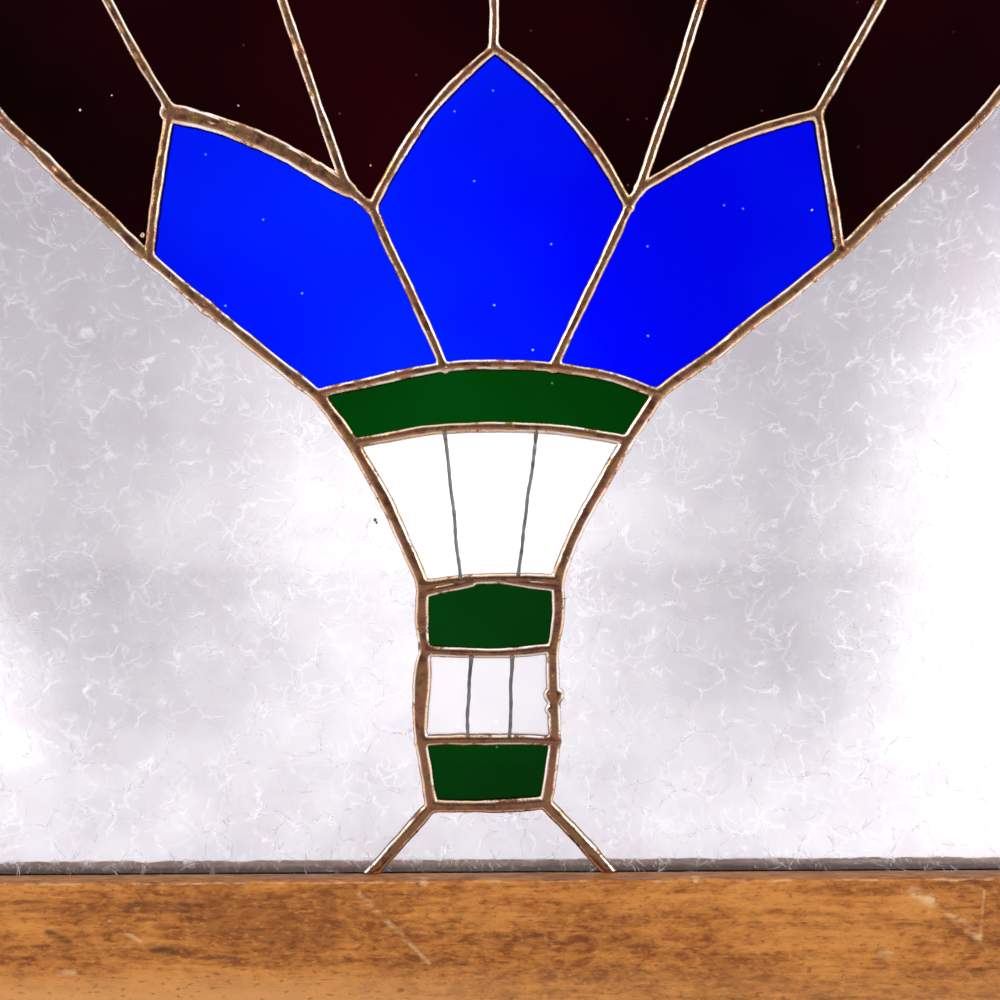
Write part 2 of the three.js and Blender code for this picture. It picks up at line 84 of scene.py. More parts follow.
# %% A helper that adds a node
def put(tree, kind, inputs=None, **settings):
    """Adds a node; an input that is given a socket is linked, and a plain value is set."""
    node = tree.nodes.new("ShaderNode" + kind)
    for name, value in settings.items():
        setattr(node, name, value)
    for name, value in (inputs or {}).items():
        if isinstance(value, bpy.types.NodeSocket):
            tree.links.new(value, node.inputs[name])
        else:
            node.inputs[name].default_value = value
    return node


def blend(tree, share, first, second):
    """Mixes two colours by a share, either of them a socket or a plain colour."""
    node = put(tree, "Mix", data_type="RGBA")
    for place, value in ((0, share), (6, first), (7, second)):
        if isinstance(value, bpy.types.NodeSocket):
            tree.links.new(value, node.inputs[place])
        else:
            node.inputs[place].default_value = value if place == 0 else (*value, 1.0)
    return node.outputs[2]


def sums(tree, kind, *values):
    """A Math node of one kind on sockets or numbers."""
    return put(tree, "Math", dict(enumerate(values)), operation=kind).outputs[0]


def arrows(tree, kind, first, second):
    """A Vector Math node of one kind on two places, which gives a third."""
    return put(tree, "VectorMath", {0: first, 1: second}, operation=kind).outputs[0]


def spread(tree, value, low, high, start=0.0, end=1.0):
    """Stretches a value from one span onto another and stops it at both ends."""
    found = {"Value": value, "From Min": low, "From Max": high, "To Min": start, "To Max": end}
    return put(tree, "MapRange", found).outputs[0]


def cloud(tree, where, scale, detail=3.0, roughness=0.5, twist=0.0, flat=False):
    """Soft noise with so many lumps to the metre; flat noise is quicker, and enough for glass."""
    found = {"Vector": where, "Scale": scale, "Detail": detail, "Roughness": roughness,
             "Distortion": twist}
    return put(tree, "TexNoise", found, noise_dimensions="2D" if flat else "3D").outputs["Fac"]


# %% A helper that starts a material
def begin(name, **plain):
    """A new material with one Principled shader, plain values set straight on it."""
    material = bpy.data.materials.new(name)
    material.use_nodes = True
    shader = material.node_tree.nodes["Principled BSDF"]
    for socket, value in plain.items():
        shader.inputs[socket.replace("_", " ")].default_value = value
    return material, material.node_tree, shader


def feed(tree, socket, shader, name):
    """Joins a changing colour, roughness or the like to the shader."""
    tree.links.new(socket, shader.inputs[name])


def add_bump(tree, shader, height, depth, strength=1.0):
    """Turns a height into a bent normal, as deep as so many metres."""
    bump = put(tree, "Bump", {"Height": height, "Distance": depth, "Strength": strength})
    tree.links.new(bump.outputs[0], shader.inputs["Normal"])


def where_on_piece(tree):
    """Places on the piece in metres, the same for every piece because all sit at the origin."""
    return put(tree, "TexCoord").outputs["Object"]


def face_of(tree, where):
    """A place on an upright sheet as its distance across and its height."""
    parts = put(tree, "SeparateXYZ", {0: where})
    return put(tree, "CombineXYZ", {0: parts.outputs[0], 1: parts.outputs[2]}).outputs[0]


# %% [markdown]
# ## The room
# The window stands on a pale floor in an even studio. What is behind the glass matters most,
# because the glass shows it: a pale wall's worth of light everywhere, and three soft lamps
# that burn the frosted glass out to white where the photograph does. The side of the room
# with the camera is dimmer, so the solder shows a brown middle between two bright lines.

# %% The pale surroundings
LAVENDER_WHITE = (1.0, 0.99, 1.03)
ROOM_STEPS = [(0.0, 0.34), (0.10, 0.34), (0.27, 1.1), (0.5, 1.6), (0.72, 0.98), (1.0, 0.98)]

world = bpy.data.worlds.new("Studio")
world.use_nodes = True
bpy.context.scene.world = world
room = world.node_tree
facing = put(room, "SeparateXYZ", {0: put(room, "TexCoord").outputs["Generated"]}).outputs["Y"]
ramp = put(room, "ValToRGB", {"Fac": spread(room, facing, -1, 1)})
while len(ramp.color_ramp.elements) < len(ROOM_STEPS):
    ramp.color_ramp.elements.new(0.5)
BRIGHTEST = max(level for _, level in ROOM_STEPS)
for element, (place, level) in zip(ramp.color_ramp.elements, ROOM_STEPS):
    element.position = place
    element.color = (*[level / BRIGHTEST * part for part in LAVENDER_WHITE], 1.0)
room.links.new(ramp.outputs[0], room.nodes["Background"].inputs["Color"])
room.nodes["Background"].inputs["Strength"].default_value = BRIGHTEST
bpy.context.scene.view_settings.view_transform = "Standard"

# %% The floor
FLOOR_SIZE = 8.0
FLOOR_DROP = 0.2 * MM
half = FLOOR_SIZE / 2
floor_mesh = bpy.data.meshes.new("floor")
floor_corners = [(x * half, y * half, -FLOOR_DROP) for x, y in ((-1, -1), (1, -1), (1, 1), (-1, 1))]
floor_mesh.from_pydata(floor_corners, [], [(0, 1, 2, 3)])
floor = into_scene("floor", floor_mesh)
paint, tree, shader = begin("Pale floor", Roughness=0.8)
patches = spread(tree, cloud(tree, where_on_piece(tree), 6.0), 0.3, 0.7)
feed(tree, blend(tree, patches, (0.62, 0.61, 0.63), (0.66, 0.65, 0.66)), shader, "Base Color")
floor_mesh.materials.append(paint)

# %% The lamps
def lamp(name, place, aim, width, height, glow, soft=False, shown=True):
    """A one-sided lamp of a given glow, even or fading to its edge, shown through glass or not."""
    light = bpy.data.lights.new(name, "AREA")
    light.shape = "RECTANGLE"
    light.size, light.size_y = width, height
    light.energy = glow * width * height * math.pi
    if soft:
        light.use_nodes = True
        tree = light.node_tree
        on_lamp = put(tree, "NewGeometry").outputs["Parametric"]
        spot = put(tree, "VectorMath", {0: on_lamp, 1: (0.5, 0.5, 0.0)}, operation="DISTANCE")
        fade = put(tree, "MapRange", {"Value": spot.outputs["Value"], "From Min": 0.0, "From Max": 0.5,
                                      "To Min": 1.0, "To Max": 0.0}, interpolation_type="SMOOTHSTEP")
        tree.links.new(fade.outputs[0], tree.nodes["Emission"].inputs["Strength"])
    lamp_object = into_scene(name, light)
    lamp_object.location = place
    lamp_object.rotation_euler = (Vector(aim) - Vector(place)).to_track_quat("-Z", "Y").to_euler()
    lamp_object.visible_camera = False
    lamp_object.visible_transmission = shown
    lamp_object.visible_glossy = shown


BEHIND = 0.62
lamp("Key", (-1.5, -1.7, 1.7), (0, 0, 0.3), 0.9, 0.9, 8.0)
lamp("Fill", (1.7, -1.3, 1.0), (0, 0, 0.3), 0.8, 1.2, 3.0)
lamp("Behind right", (0.70, BEHIND, 0.15), (0.70, 0, 0.15), 0.94, 1.10, 4.0, soft=True)
lamp("Behind left", (-0.57, BEHIND, 0.00), (-0.57, 0, 0.00), 0.48, 0.58, 1.9, soft=True)
lamp("Behind the skirt", (-0.055, BEHIND, 0.22), (-0.055, 0, 0.22), 0.62, 0.80, 0.75, soft=True)
lamp("Over the far floor", (0.0, 2.2, 1.6), (0.0, 2.2, 0), 4.0, 2.4, 0.4, shown=False)
lamp("Over the floor, right", (0.66, 0.32, 0.6), (0.66, 0.32, 0), 0.4, 0.4, 13.0, shown=False)
lamp("Over the floor, left", (-0.64, 0.32, 0.6), (-0.64, 0.32, 0), 0.3, 0.4, 10.0, shown=False)

# %% [markdown]
# ## The balloon's lines
# Every seam of solder follows a line of the drawing. The lines are kept once, as joints and
# the bow of the seam between two joints, in thousandths of the balloon's height. Solder,
# wires and frost are all laid out from them, in millimetres across and up from the rail.

# %% Sizes and joints
UNIT = 0.7255
RADIUS = 354.5 * UNIT
MIDDLE = 725.5 - RADIUS
FLANK = 415.5 * UNIT
HALF_SIGHT = RADIUS + 37
SIGHT_HEIGHT = 785.5
HOLD = 8
RAIL_TOP = 75
GLASS_DEPTH = -4.0
CAP_HALF = 85
CAP_SAG = 20
CAP_END = MIDDLE + math.sqrt(RADIUS ** 2 - CAP_HALF ** 2)
SHARES = [-0.777, -0.424, 0, 0.424, 0.777]
LEAN = [0.59, 0.36]

JOINTS = {
    "footLeft": (-69.8, 0), "footRight": (61.5, 0),
    "basketBottomLeft": (-35.9, 36.9), "basketBottomRight": (26.6, 38.5),
    "basketTopLeft": (-42.1, 72.7), "basketTopRight": (32.1, 72.1),
    "burnerBottomLeft": (-39.2, 122.9), "burnerBottomRight": (31.0, 123.6),
    "burnerTopLeft": (-40.6, 158.7), "burnerTopRight": (33.6, 161.1),
    "skirtTopLeft": (-78.4, 236.8), "skirtTopRight": (73.2, 237.6),
    "bandTopLeft": (-97.5, 263.8), "bandTopRight": (90.5, 263.8),
    "bandMiddleLeft": (-27.4, 278.6), "bandMiddleRight": (32.1, 278.3),
    "shoulderLeft": (-190.2, 339.8), "shoulderRight": (190.4, 340.5),
    "petalTipLeft": (-178.3, 421.4), "petalTipCentre": (0.6, 454.6), "petalTipRight": (178.6, 417.6),
    "petalJoinLeft": (-67.2, 366.4), "petalJoinRight": (74.5, 366.5),
    "goreFootLeft": (-81.0, 378.4), "goreFootRight": (80.0, 376.0),
}
joint = {name: np.array(place) * UNIT for name, place in JOINTS.items()}


def half_width(height):
    """Half the width of the round part of the envelope at a height."""
    return math.sqrt(RADIUS ** 2 - (height - MIDDLE) ** 2)


def cap_edge(across):
    """A point on the lower edge of the crown cap."""
    return np.array([across, CAP_END - CAP_SAG * (1 - (across / CAP_HALF) ** 2)])


def gore_top(share):
    """Where a gore seam meets the crown cap."""
    across = share * CAP_HALF
    for _ in range(12):
        across = share * half_width(cap_edge(across)[1])
    return cap_edge(across)


for side, sign in (("Left", -1), ("Right", 1)):
    joint["middle" + side] = np.array([sign * RADIUS, MIDDLE])
    joint["side" + side] = np.array([sign * (HALF_SIGHT + HOLD), MIDDLE])
    joint["cap" + side] = cap_edge(sign * CAP_HALF)
    foot, basket = joint["foot" + side], joint["basketBottom" + side]
    joint["legEnd" + side] = basket + (foot - basket) * (basket[1] + HOLD) / basket[1]
joint["crown"] = np.array([0, 725.5])
joint["crownEnd"] = np.array([0, SIGHT_HEIGHT + HOLD])
for number, share in enumerate(SHARES, 1):
    joint[f"goreTop{number}"] = gore_top(share)
print("joints:", len(joint))

# %% The seams between the joints
BOWED = {
    "basketTop": ("basketTopLeft", "basketTopRight", 1),
    "burnerBottom": ("burnerBottomLeft", "burnerBottomRight", -2.2),
    "burnerTop": ("burnerTopLeft", "burnerTopRight", 2),
    "bandBottom": ("skirtTopLeft", "skirtTopRight", 8.6),
    "bandTopLeft": ("bandTopLeft", "bandMiddleLeft", 1.4),
    "bandTopMiddle": ("bandMiddleLeft", "bandMiddleRight", 1.8),
    "bandTopRight": ("bandMiddleRight", "bandTopRight", 2),
    "petalEdgeLeft": ("petalTipLeft", "shoulderLeft", -0.8),
    "petalEdgeRight": ("petalTipRight", "shoulderRight", 0.6),
    "petalTopLeft": ("petalTipLeft", "goreFootLeft", 5.2),
    "petalBackLeft": ("goreFootLeft", "petalJoinLeft", 0),
    "petalTopRight": ("petalTipRight", "goreFootRight", -5),
    "petalBackRight": ("goreFootRight", "petalJoinRight", 0),
    "petalCentreLeft": ("petalJoinLeft", "petalTipCentre", 6.6),
    "petalCentreRight": ("petalJoinRight", "petalTipCentre", -7.4),
    "petalSeamLeft": ("petalJoinLeft", "bandMiddleLeft", 0),
    "petalSeamRight": ("petalJoinRight", "bandMiddleRight", 0),
    "legLeft": ("legEndLeft", "basketBottomLeft", 0),
    "legRight": ("legEndRight", "basketBottomRight", 0),
    "basketBottom": ("basketBottomLeft", "basketBottomRight", -1.2),
    "basketSideLeft": ("basketBottomLeft", "basketTopLeft", 0),
    "basketSideRight": ("basketBottomRight", "basketTopRight", 0),
    "ropeSideLeft": ("basketTopLeft", "burnerBottomLeft", 0),
    "ropeSideRight": ("basketTopRight", "burnerBottomRight", 0),
    "burnerSideLeft": ("burnerBottomLeft", "burnerTopLeft", 0.8),
    "burnerSideRight": ("burnerBottomRight", "burnerTopRight", -1.6),
    "skirtSideLeft": ("burnerTopLeft", "skirtTopLeft", -2.2),
    "skirtSideRight": ("burnerTopRight", "skirtTopRight", 2.6),
    "bandSideLeft": ("skirtTopLeft", "bandTopLeft", 0),
    "bandSideRight": ("skirtTopRight", "bandTopRight", 0),
    "envelopeLowerLeft": ("bandTopLeft", "shoulderLeft", 1),
    "envelopeLowerRight": ("bandTopRight", "shoulderRight", -1.2),
    "sideSeamLeft": ("middleLeft", "sideLeft", 0),
    "sideSeamRight": ("middleRight", "sideRight", 0),
    "crownSeam": ("crown", "crownEnd", 0),
}


def bowed(start, end, bow):
    """Points on a bowed seam; the bow is to the left of the way it runs."""
    along = (end - start) / np.linalg.norm(end - start)
    turn = (start + end) / 2 + 2 * bow * UNIT * np.array([-along[1], along[0]])
    share = np.linspace(0, 1, 25)[:, None]
    return (1 - share) ** 2 * start + 2 * share * (1 - share) * turn + share ** 2 * end


def round_part(sign, low, high):
    """Points on the round part of the envelope between two angles."""
    angles = np.linspace(low, high, 25)
    return np.stack([sign * RADIUS * np.cos(angles), MIDDLE + RADIUS * np.sin(angles)], axis=1)


seams = {name: bowed(joint[start], joint[end], bow) for name, (start, end, bow) in BOWED.items()}
flank_angle = math.asin((FLANK - MIDDLE) / RADIUS)
cap_angle = math.asin((CAP_END - MIDDLE) / RADIUS)
for side, sign in (("Left", -1), ("Right", 1)):
    flank = round_part(sign, flank_angle, 0)
    seams["envelopeFlank" + side] = np.vstack([joint["shoulder" + side], flank])
    seams["envelopeUpper" + side] = round_part(sign, 0, cap_angle)
    seams["envelopeCrown" + side] = round_part(sign, cap_angle, math.pi / 2)
seams["capEdges"] = np.array([cap_edge(across) for across in np.linspace(-CAP_HALF, CAP_HALF, 33)])

GORE_FEET = ["petalTipLeft", "goreFootLeft", "petalTipCentre", "goreFootRight", "petalTipRight"]
for number, (foot_name, share) in enumerate(zip(GORE_FEET, SHARES), 1):
    foot, top, widest = joint[foot_name], joint[f"goreTop{number}"], share * RADIUS
    turn = foot[1] + abs(widest - foot[0]) / LEAN[(number - 1) % 2]
    bend = np.array([widest, (foot[1] + MIDDLE) / 2 if share == 0 else turn])
    step = np.linspace(0, 1, 25)[:, None]
    lower = (1 - step) ** 2 * foot + 2 * step * (1 - step) * bend + step ** 2 * np.array([widest, MIDDLE])
    heights = np.linspace(MIDDLE, top[1], 25)[1:]
    upper = np.array([[share * half_width(height), height] for height in heights])
    seams[f"gore{number}"] = np.vstack([lower, upper]) if share else np.array([foot, top])
print("seams:", len(seams))

# %% [markdown]
# ## Putting a piece together
# Each piece made here is a mesh of its own. It rides on the window's one body, and hides
# the imported solid that it replaces.

# %% A helper that makes a piece
window_body = "root"


def to_room(points):
    """Millimetres across, up and out from the panel's middle plane, turned into metres in the room."""
    across, up, out = points[:, 0], points[:, 1], points[:, 2]
    return np.stack([across, GLASS_DEPTH - out, RAIL_TOP + up], axis=1) * MM


def make_piece(name, points, faces, material, stands_for=(), smooth=True):
    """A new piece from points in metres and faces."""
    mesh = bpy.data.meshes.new(name)
    mesh.from_pydata(points.tolist() if hasattr(points, "tolist") else points, [], faces)
    mesh.materials.append(material)
    mesh.polygons.foreach_set("use_smooth", [smooth] * len(mesh.polygons))
    mesh.update()
    piece = into_scene(name, mesh)
    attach(piece, window_body)
    for node in stands_for:
        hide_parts(node)
    return piece


def evened(line, step):
    """The same line with points an even step apart."""
    gaps = np.linalg.norm(np.diff(line, axis=0), axis=1)
    line = line[np.concatenate([[True], gaps > 1e-6])]
    run = np.concatenate([[0], np.cumsum(np.linalg.norm(np.diff(line, axis=0), axis=1))])
    count = max(2, int(round(run[-1] / step)) + 1)
    places = np.linspace(0, run[-1], count)
    return np.stack([np.interp(places, run, line[:, axis]) for axis in (0, 1)], axis=1)


def softened(line, rounds):
    """Corners eased by pulling each point towards its neighbours."""
    line = line.copy()
    for _ in range(rounds):
        line[1:-1] = (line[:-2] + 2 * line[1:-1] + line[2:]) / 4
    return line


def wander(dice, run, wave):
    """A slow random drift along a length, between about -1 and 1."""
    total = np.zeros_like(run)
    for _ in range(4):
        total += np.sin(2 * math.pi * run / (wave * dice.uniform(0.7, 1.6)) + dice.uniform(0, 6.3))
    return total / 2.4


# %% [markdown]
# ## Solder
# Solder is run along every seam with an iron, on both faces, and freezes as a rounded bead
# with lumps and dips. A curve with a bevel would give a perfect pipe, so each bead is swept
# one by one: its width, height and place drift as it goes, and its ends are domed. The strokes
# are then joined with a Boolean, and the metal is eased round every joint, where it pooled.

# %% The strokes of solder
OUTER_HALF = 2.7
INNER_HALF = 2.2
side_run = ["basketSide", "ropeSide", "burnerSide", "skirtSide", "bandSide",
            "envelopeLower", "envelopeFlank", "envelopeUpper", "envelopeCrown"]
left_run = np.vstack([seams[name + "Left"] for name in side_run])
right_run = np.vstack([seams[name + "Right"] for name in side_run])
STROKES = [
    ("silhouette", OUTER_HALF, np.vstack([left_run, right_run[::-1]])),
    ("legLeft", OUTER_HALF, None), ("legRight", OUTER_HALF, None), ("basketBottom", OUTER_HALF, None),
    ("sideSeamLeft", OUTER_HALF, None), ("sideSeamRight", OUTER_HALF, None), ("crownSeam", OUTER_HALF, None),
    ("fillLeft", 2.0, np.array([(-27.0, 112.3), (-10.0, 116.2)])),
    ("fillRight", 1.9, np.array([(23.0, 114.0), (3.0, 117.0)])),
    ("petalTopWide", 3.8, seams["petalTopLeft"] - (0, 0.8)),
    ("ropeOuterLeft", 1.9, np.array([(-29.8, 86.0), (-31.7, 77.0), (-32.1, 64.0), (-31.2, 53.0)])),
    ("basketTop", INNER_HALF, None), ("burnerBottom", INNER_HALF, None), ("burnerTop", INNER_HALF, None),
    ("bandBottom", INNER_HALF, None),
    ("bandTop", INNER_HALF, np.vstack([seams["bandTopLeft"], seams["bandTopMiddle"], seams["bandTopRight"]])),
    ("petalLeft", INNER_HALF, np.vstack([seams["petalTopLeft"], seams["petalBackLeft"]])),
    ("petalRight", INNER_HALF, np.vstack([seams["petalTopRight"], seams["petalBackRight"]])),
    ("petalSeamLeft", INNER_HALF, None), ("petalSeamRight", INNER_HALF, None),
    ("petalCentreLeft", INNER_HALF, None), ("petalCentreRight", INNER_HALF, None),
    ("petalEdgeLeft", INNER_HALF, None), ("petalEdgeRight", INNER_HALF, None),
    ("gore1", INNER_HALF, None), ("gore2", INNER_HALF, None), ("gore3", INNER_HALF, None),
    ("gore4", INNER_HALF, None), ("gore5", INNER_HALF, None), ("capEdges", INNER_HALF, None),
]
STROKES = [(name, half, seams[name] if line is None else line) for name, half, line in STROKES]
seam_length = sum(np.linalg.norm(np.diff(line, axis=0), axis=1).sum() for _, _, line in STROKES)
print("solder to run:", round(seam_length), "mm")

# %% One stroke as a swept bead
GLASS_FACE = 1.5
BEAD_RISE = 1.72
WEB_HALF = 0.5
STEP = 2.0
FULLNESS = 0.95
FRONT_ANGLES = np.linspace(0, math.pi, 11)
BACK_ANGLES = np.linspace(0, math.pi, 7)


def bead_ring():
    """A section as rows of (share of half width, share of rise, plain across, plain out)."""
    ring = []
    for angles, face in ((FRONT_ANGLES, 1), (BACK_ANGLES, -1)):
        for angle in angles:
            across = math.copysign(abs(math.cos(angle)) ** FULLNESS, math.cos(angle)) * face
            ring.append((across, face * math.sin(angle) ** FULLNESS, 0, face * (GLASS_FACE + 0.02)))
        ring.append((0, 0, -face * WEB_HALF, face * (GLASS_FACE - 0.1)))
        ring.append((0, 0, -face * WEB_HALF, -face * (GLASS_FACE - 0.1)))
    return np.array(ring)


RING = bead_ring()


def stroke_mesh(dice, line, half):
    """Points and faces of one bead with its drift, lumps and domed ends."""
    line = softened(evened(line, STEP), 3)
    start = line[0] - (line[1] - line[0]) / np.linalg.norm(line[1] - line[0]) * 0.6
    end = line[-1] - (line[-2] - line[-1]) / np.linalg.norm(line[-2] - line[-1]) * 0.6
    line = np.vstack([start, line[1:-1], end])
    ahead = np.gradient(line, axis=0)
    ahead /= np.linalg.norm(ahead, axis=1)[:, None]
    run = np.concatenate([[0], np.cumsum(np.linalg.norm(np.diff(line, axis=0), axis=1))])
    caps = half * np.array([0.97, 0.8, 0.45])
    before = [line[0] - ahead[0] * cap for cap in caps]
    after = [line[-1] + ahead[-1] * cap for cap in caps[::-1]]
    line = np.vstack([before, line, after])
    ahead = np.vstack([[ahead[0]] * 3, ahead, [ahead[-1]] * 3])
    run = np.concatenate([run[0] - caps, run, run[-1] + caps[::-1]])
    domes = np.sqrt(1 - (caps / half) ** 2)
    dome = np.concatenate([domes, np.ones(len(line) - 6), domes[::-1]])
    wide = half * (1 + 0.05 * wander(dice, run, 34) + 0.035 * wander(dice, run, 9))
    tall = BEAD_RISE * (0.9 + 0.07 * wander(dice, run, 23) + 0.06 * wander(dice, run, 7))
    for _ in range(int(len(run) * STEP / 26)):
        lump = np.exp(-((run - dice.uniform(run[0], run[-1])) / dice.uniform(1.2, 3.0)) ** 2)
        size = dice.choice([-0.18, 0.12, 0.2])
        tall *= 1 + size * lump
        wide *= 1 + 0.35 * size * lump
    aside = np.stack([-ahead[:, 1], ahead[:, 0]], axis=1)
    line = line + aside * (0.28 * wander(dice, run, 41))[:, None]
    across = (RING[:, 0] * (wide * dome)[:, None]) + RING[:, 2] * dome[:, None]
    out = (RING[:, 1] * (tall * dome)[:, None]) + RING[:, 3]
    points = np.empty((len(line), len(RING), 3))
    points[:, :, :2] = line[:, None, :] + aside[:, None, :] * across[:, :, None]
    points[:, :, 2] = out
    size = len(RING)
    faces = []
    for row in range(len(line) - 1):
        for column in range(size):
            following = (column + 1) % size
            faces.append((row * size + column, row * size + following,
                          (row + 1) * size + following, (row + 1) * size + column))
    faces.append(tuple(range(size))[::-1])
    faces.append(tuple((len(line) - 1) * size + column for column in range(size)))
    return points.reshape(-1, 3), faces


# %% Pools where strokes meet, and the rough spots
def dome_mesh(place, radius, rise, face, dice, base=0.06):
    """A low dome of solder on one face of the glass."""
    rings, spokes = 4, 14
    points, faces = [], []
    turn = dice.uniform(0, 6.3)
    reach = 1 + 0.08 * np.sin(2 * np.linspace(0, 2 * math.pi, spokes, endpoint=False) + turn)
    level = face * (GLASS_FACE + base)
    for ring in range(rings):
        angle = ring / rings * math.pi / 2
        for spoke in range(spokes):
            around = 2 * math.pi * spoke / spokes
            wide = radius * reach[spoke] * math.cos(angle)
            points.append((place[0] + wide * math.cos(around), place[1] + wide * math.sin(around),
                           level + face * rise * math.sin(angle)))
    points.append((place[0], place[1], level + face * rise))
    top = len(points) - 1
    for ring in range(rings - 1):
        for spoke in range(spokes):
            right = (spoke + 1) % spokes
            faces.append((ring * spokes + spoke, ring * spokes + right,
                          (ring + 1) * spokes + right, (ring + 1) * spokes + spoke))
    for spoke in range(spokes):
        faces.append(((rings - 1) * spokes + spoke, (rings - 1) * spokes + (spoke + 1) % spokes, top))
    faces.append(tuple(range(spokes))[::-1])
    if face < 0:
        faces = [item[::-1] for item in faces]
    return np.array(points), faces


POOL_JOINTS = [name for name in joint if not name.startswith(("foot", "legEnd", "side", "crownEnd"))]
ROUGH_SPOTS = [
    ((139.6, 248.0), 2.6, 1.9), ((136.6, 251.6), 1.7, 1.8), ((128.6, 236.6), 1.3, 1.9),
    ((23.9, 70.5), 3.4, 1.5), ((21.6, 70.8), 3.2, 1.4), ((22.0, 65.4), 2.8, 1.45),
    ((-140.4, 255.6), 1.3, 1.5),
]
dice = np.random.default_rng(11)
pool_batches = []
for face in (1, -1):
    batch = []
    for name in POOL_JOINTS:
        batch.append(dome_mesh(joint[name], 2.75 * dice.uniform(0.95, 1.12), BEAD_RISE * 0.97, face, dice))
    pool_batches.append(batch)
spots = [dome_mesh(np.array(place), radius, rise, 1, dice, 0.09) for place, radius, rise in ROUGH_SPOTS]

# %% Joining the strokes
def gathered(parts):
    """Several meshes laid side by side in one, with no joining."""
    points, faces, first = [], [], 0
    for part_points, part_faces in parts:
        points.append(part_points)
        faces.extend(tuple(index + first for index in face) for face in part_faces)
        first += len(part_points)
    return np.vstack(points), faces


def loose_object(name, parts):
    """A working object that isn't kept."""
    points, faces = gathered(parts)
    mesh = bpy.data.meshes.new(name)
    mesh.from_pydata(to_room(points).tolist(), [], faces)
    mesh.update()
    return into_scene(name, mesh)


def combine(base, tool, how):
    """Joins or cuts one working object with another and drops the second."""
    cut = base.modifiers.new("joined", "BOOLEAN")
    cut.operation, cut.solver, cut.object = how, "MANIFOLD", tool
    shaped = bpy.data.meshes.new_from_object(base.evaluated_get(bpy.context.evaluated_depsgraph_get()))
    base.modifiers.clear()
    old = base.data
    base.data = shaped
    bpy.data.meshes.remove(old)
    bpy.data.objects.remove(tool)


def triangles_in(mesh):
    """How many triangles a mesh comes to."""
    return sum(len(face.vertices) - 2 for face in mesh.polygons)


def sort_batches(parts, reach=9.0):
    """Strokes in batches in which no two come near each other."""
    batches = []
    for points, faces in parts:
        flat = points[:, :2]
        for batch in batches:
            near = any(np.min(np.linalg.norm(flat[::11, None] - other[None, ::11, :2], axis=2)) < reach
                       for other, _ in batch)
            if not near:
                batch.append((points, faces))
                break
        else:
            batches.append([(points, faces)])
    return batches


strokes = [stroke_mesh(np.random.default_rng(number + 3), line, half)
           for number, (name, half, line) in enumerate(STROKES)]
batches = sort_batches(strokes)
batches += [group for batch in pool_batches for group in sort_batches(batch)] + sort_batches(spots, 0.5)
solder = loose_object("joined_solder", batches[0])
for batch in batches[1:]:
    combine(solder, loose_object("stroke_batch", batch), "UNION")
print("solder batches:", len(batches), "triangles:", triangles_in(solder.data))

# %% [markdown]
# The beads stop at the edge of the opening, because only the thin glass goes into the groove.

# %% Trimming to the opening and easing the joints
def slab(low, high):
    """A plain box between two corners, for cutting."""
    (x0, y0, z0), (x1, y1, z1) = low, high
    corners = np.array([(x, y, z) for x in (x0, x1) for y in (y0, y1) for z in (z0, z1)])
    return corners, [(0, 1, 3, 2), (4, 6, 7, 5), (0, 4, 5, 1), (2, 3, 7, 6), (0, 2, 6, 4), (1, 5, 7, 3)]


CLEAR = 0.3
low_corner = (-HALF_SIGHT + CLEAR, CLEAR, -9)
high_corner = (HALF_SIGHT - CLEAR, SIGHT_HEIGHT - CLEAR, 9)
combine(solder, loose_object("opening", [slab(low_corner, high_corner)]), "INTERSECT")


def ease_joints(mesh, reach=5.0, rounds=7):
    """Pulls each point near a joint towards its neighbours, most at the joint itself."""
    count = len(mesh.vertices)
    places = np.empty(count * 3)
    mesh.vertices.foreach_get("co", places)
    places = places.reshape(-1, 3)
    edges = np.empty(len(mesh.edges) * 2, dtype=int)
    mesh.edges.foreach_get("vertices", edges)
    edges = edges.reshape(-1, 2)
    flat = np.stack([places[:, 0] / MM, places[:, 2] / MM - RAIL_TOP], axis=1)
    nearest = np.full(count, 1e9)
    for name in POOL_JOINTS:
        nearest = np.minimum(nearest, np.linalg.norm(flat - joint[name], axis=1))
    hold = np.clip(1 - nearest / reach, 0, 1)[:, None] * 0.8
    degree = np.bincount(edges.ravel(), minlength=count)[:, None]
    for _ in range(rounds):
        total = np.zeros_like(places)
        np.add.at(total, edges[:, 0], places[edges[:, 1]])
        np.add.at(total, edges[:, 1], places[edges[:, 0]])
        places = places + hold * (total / np.maximum(degree, 1) - places)
    mesh.vertices.foreach_set("co", places.ravel())
    mesh.update()


ease_joints(solder.data)
points = np.empty(len(solder.data.vertices) * 3)
solder.data.vertices.foreach_get("co", points)
points = points.reshape(-1, 3)
print("solder reaches from", (points.min(axis=0) / MM).round(1), "to", (points.max(axis=0) / MM).round(1))

# %% [markdown]
# The metal is solder with a copper patina: brown along the crown of each bead, with a painted
# highlight in broken lengths on its two shoulders, a few rubbed bright spots, a painted dark
# shade where it meets the glass, and painted shade on the seams low on the panel. A shoulder is
# found by how far the surface has turned from the front, and noise of several sizes breaks
# it up, so no length of it repeats.

# %% The copper patina
RIM_SLOPE = (0.62, 0.50)
LOW_SEAM_SHADE = (0.28, 0.20)


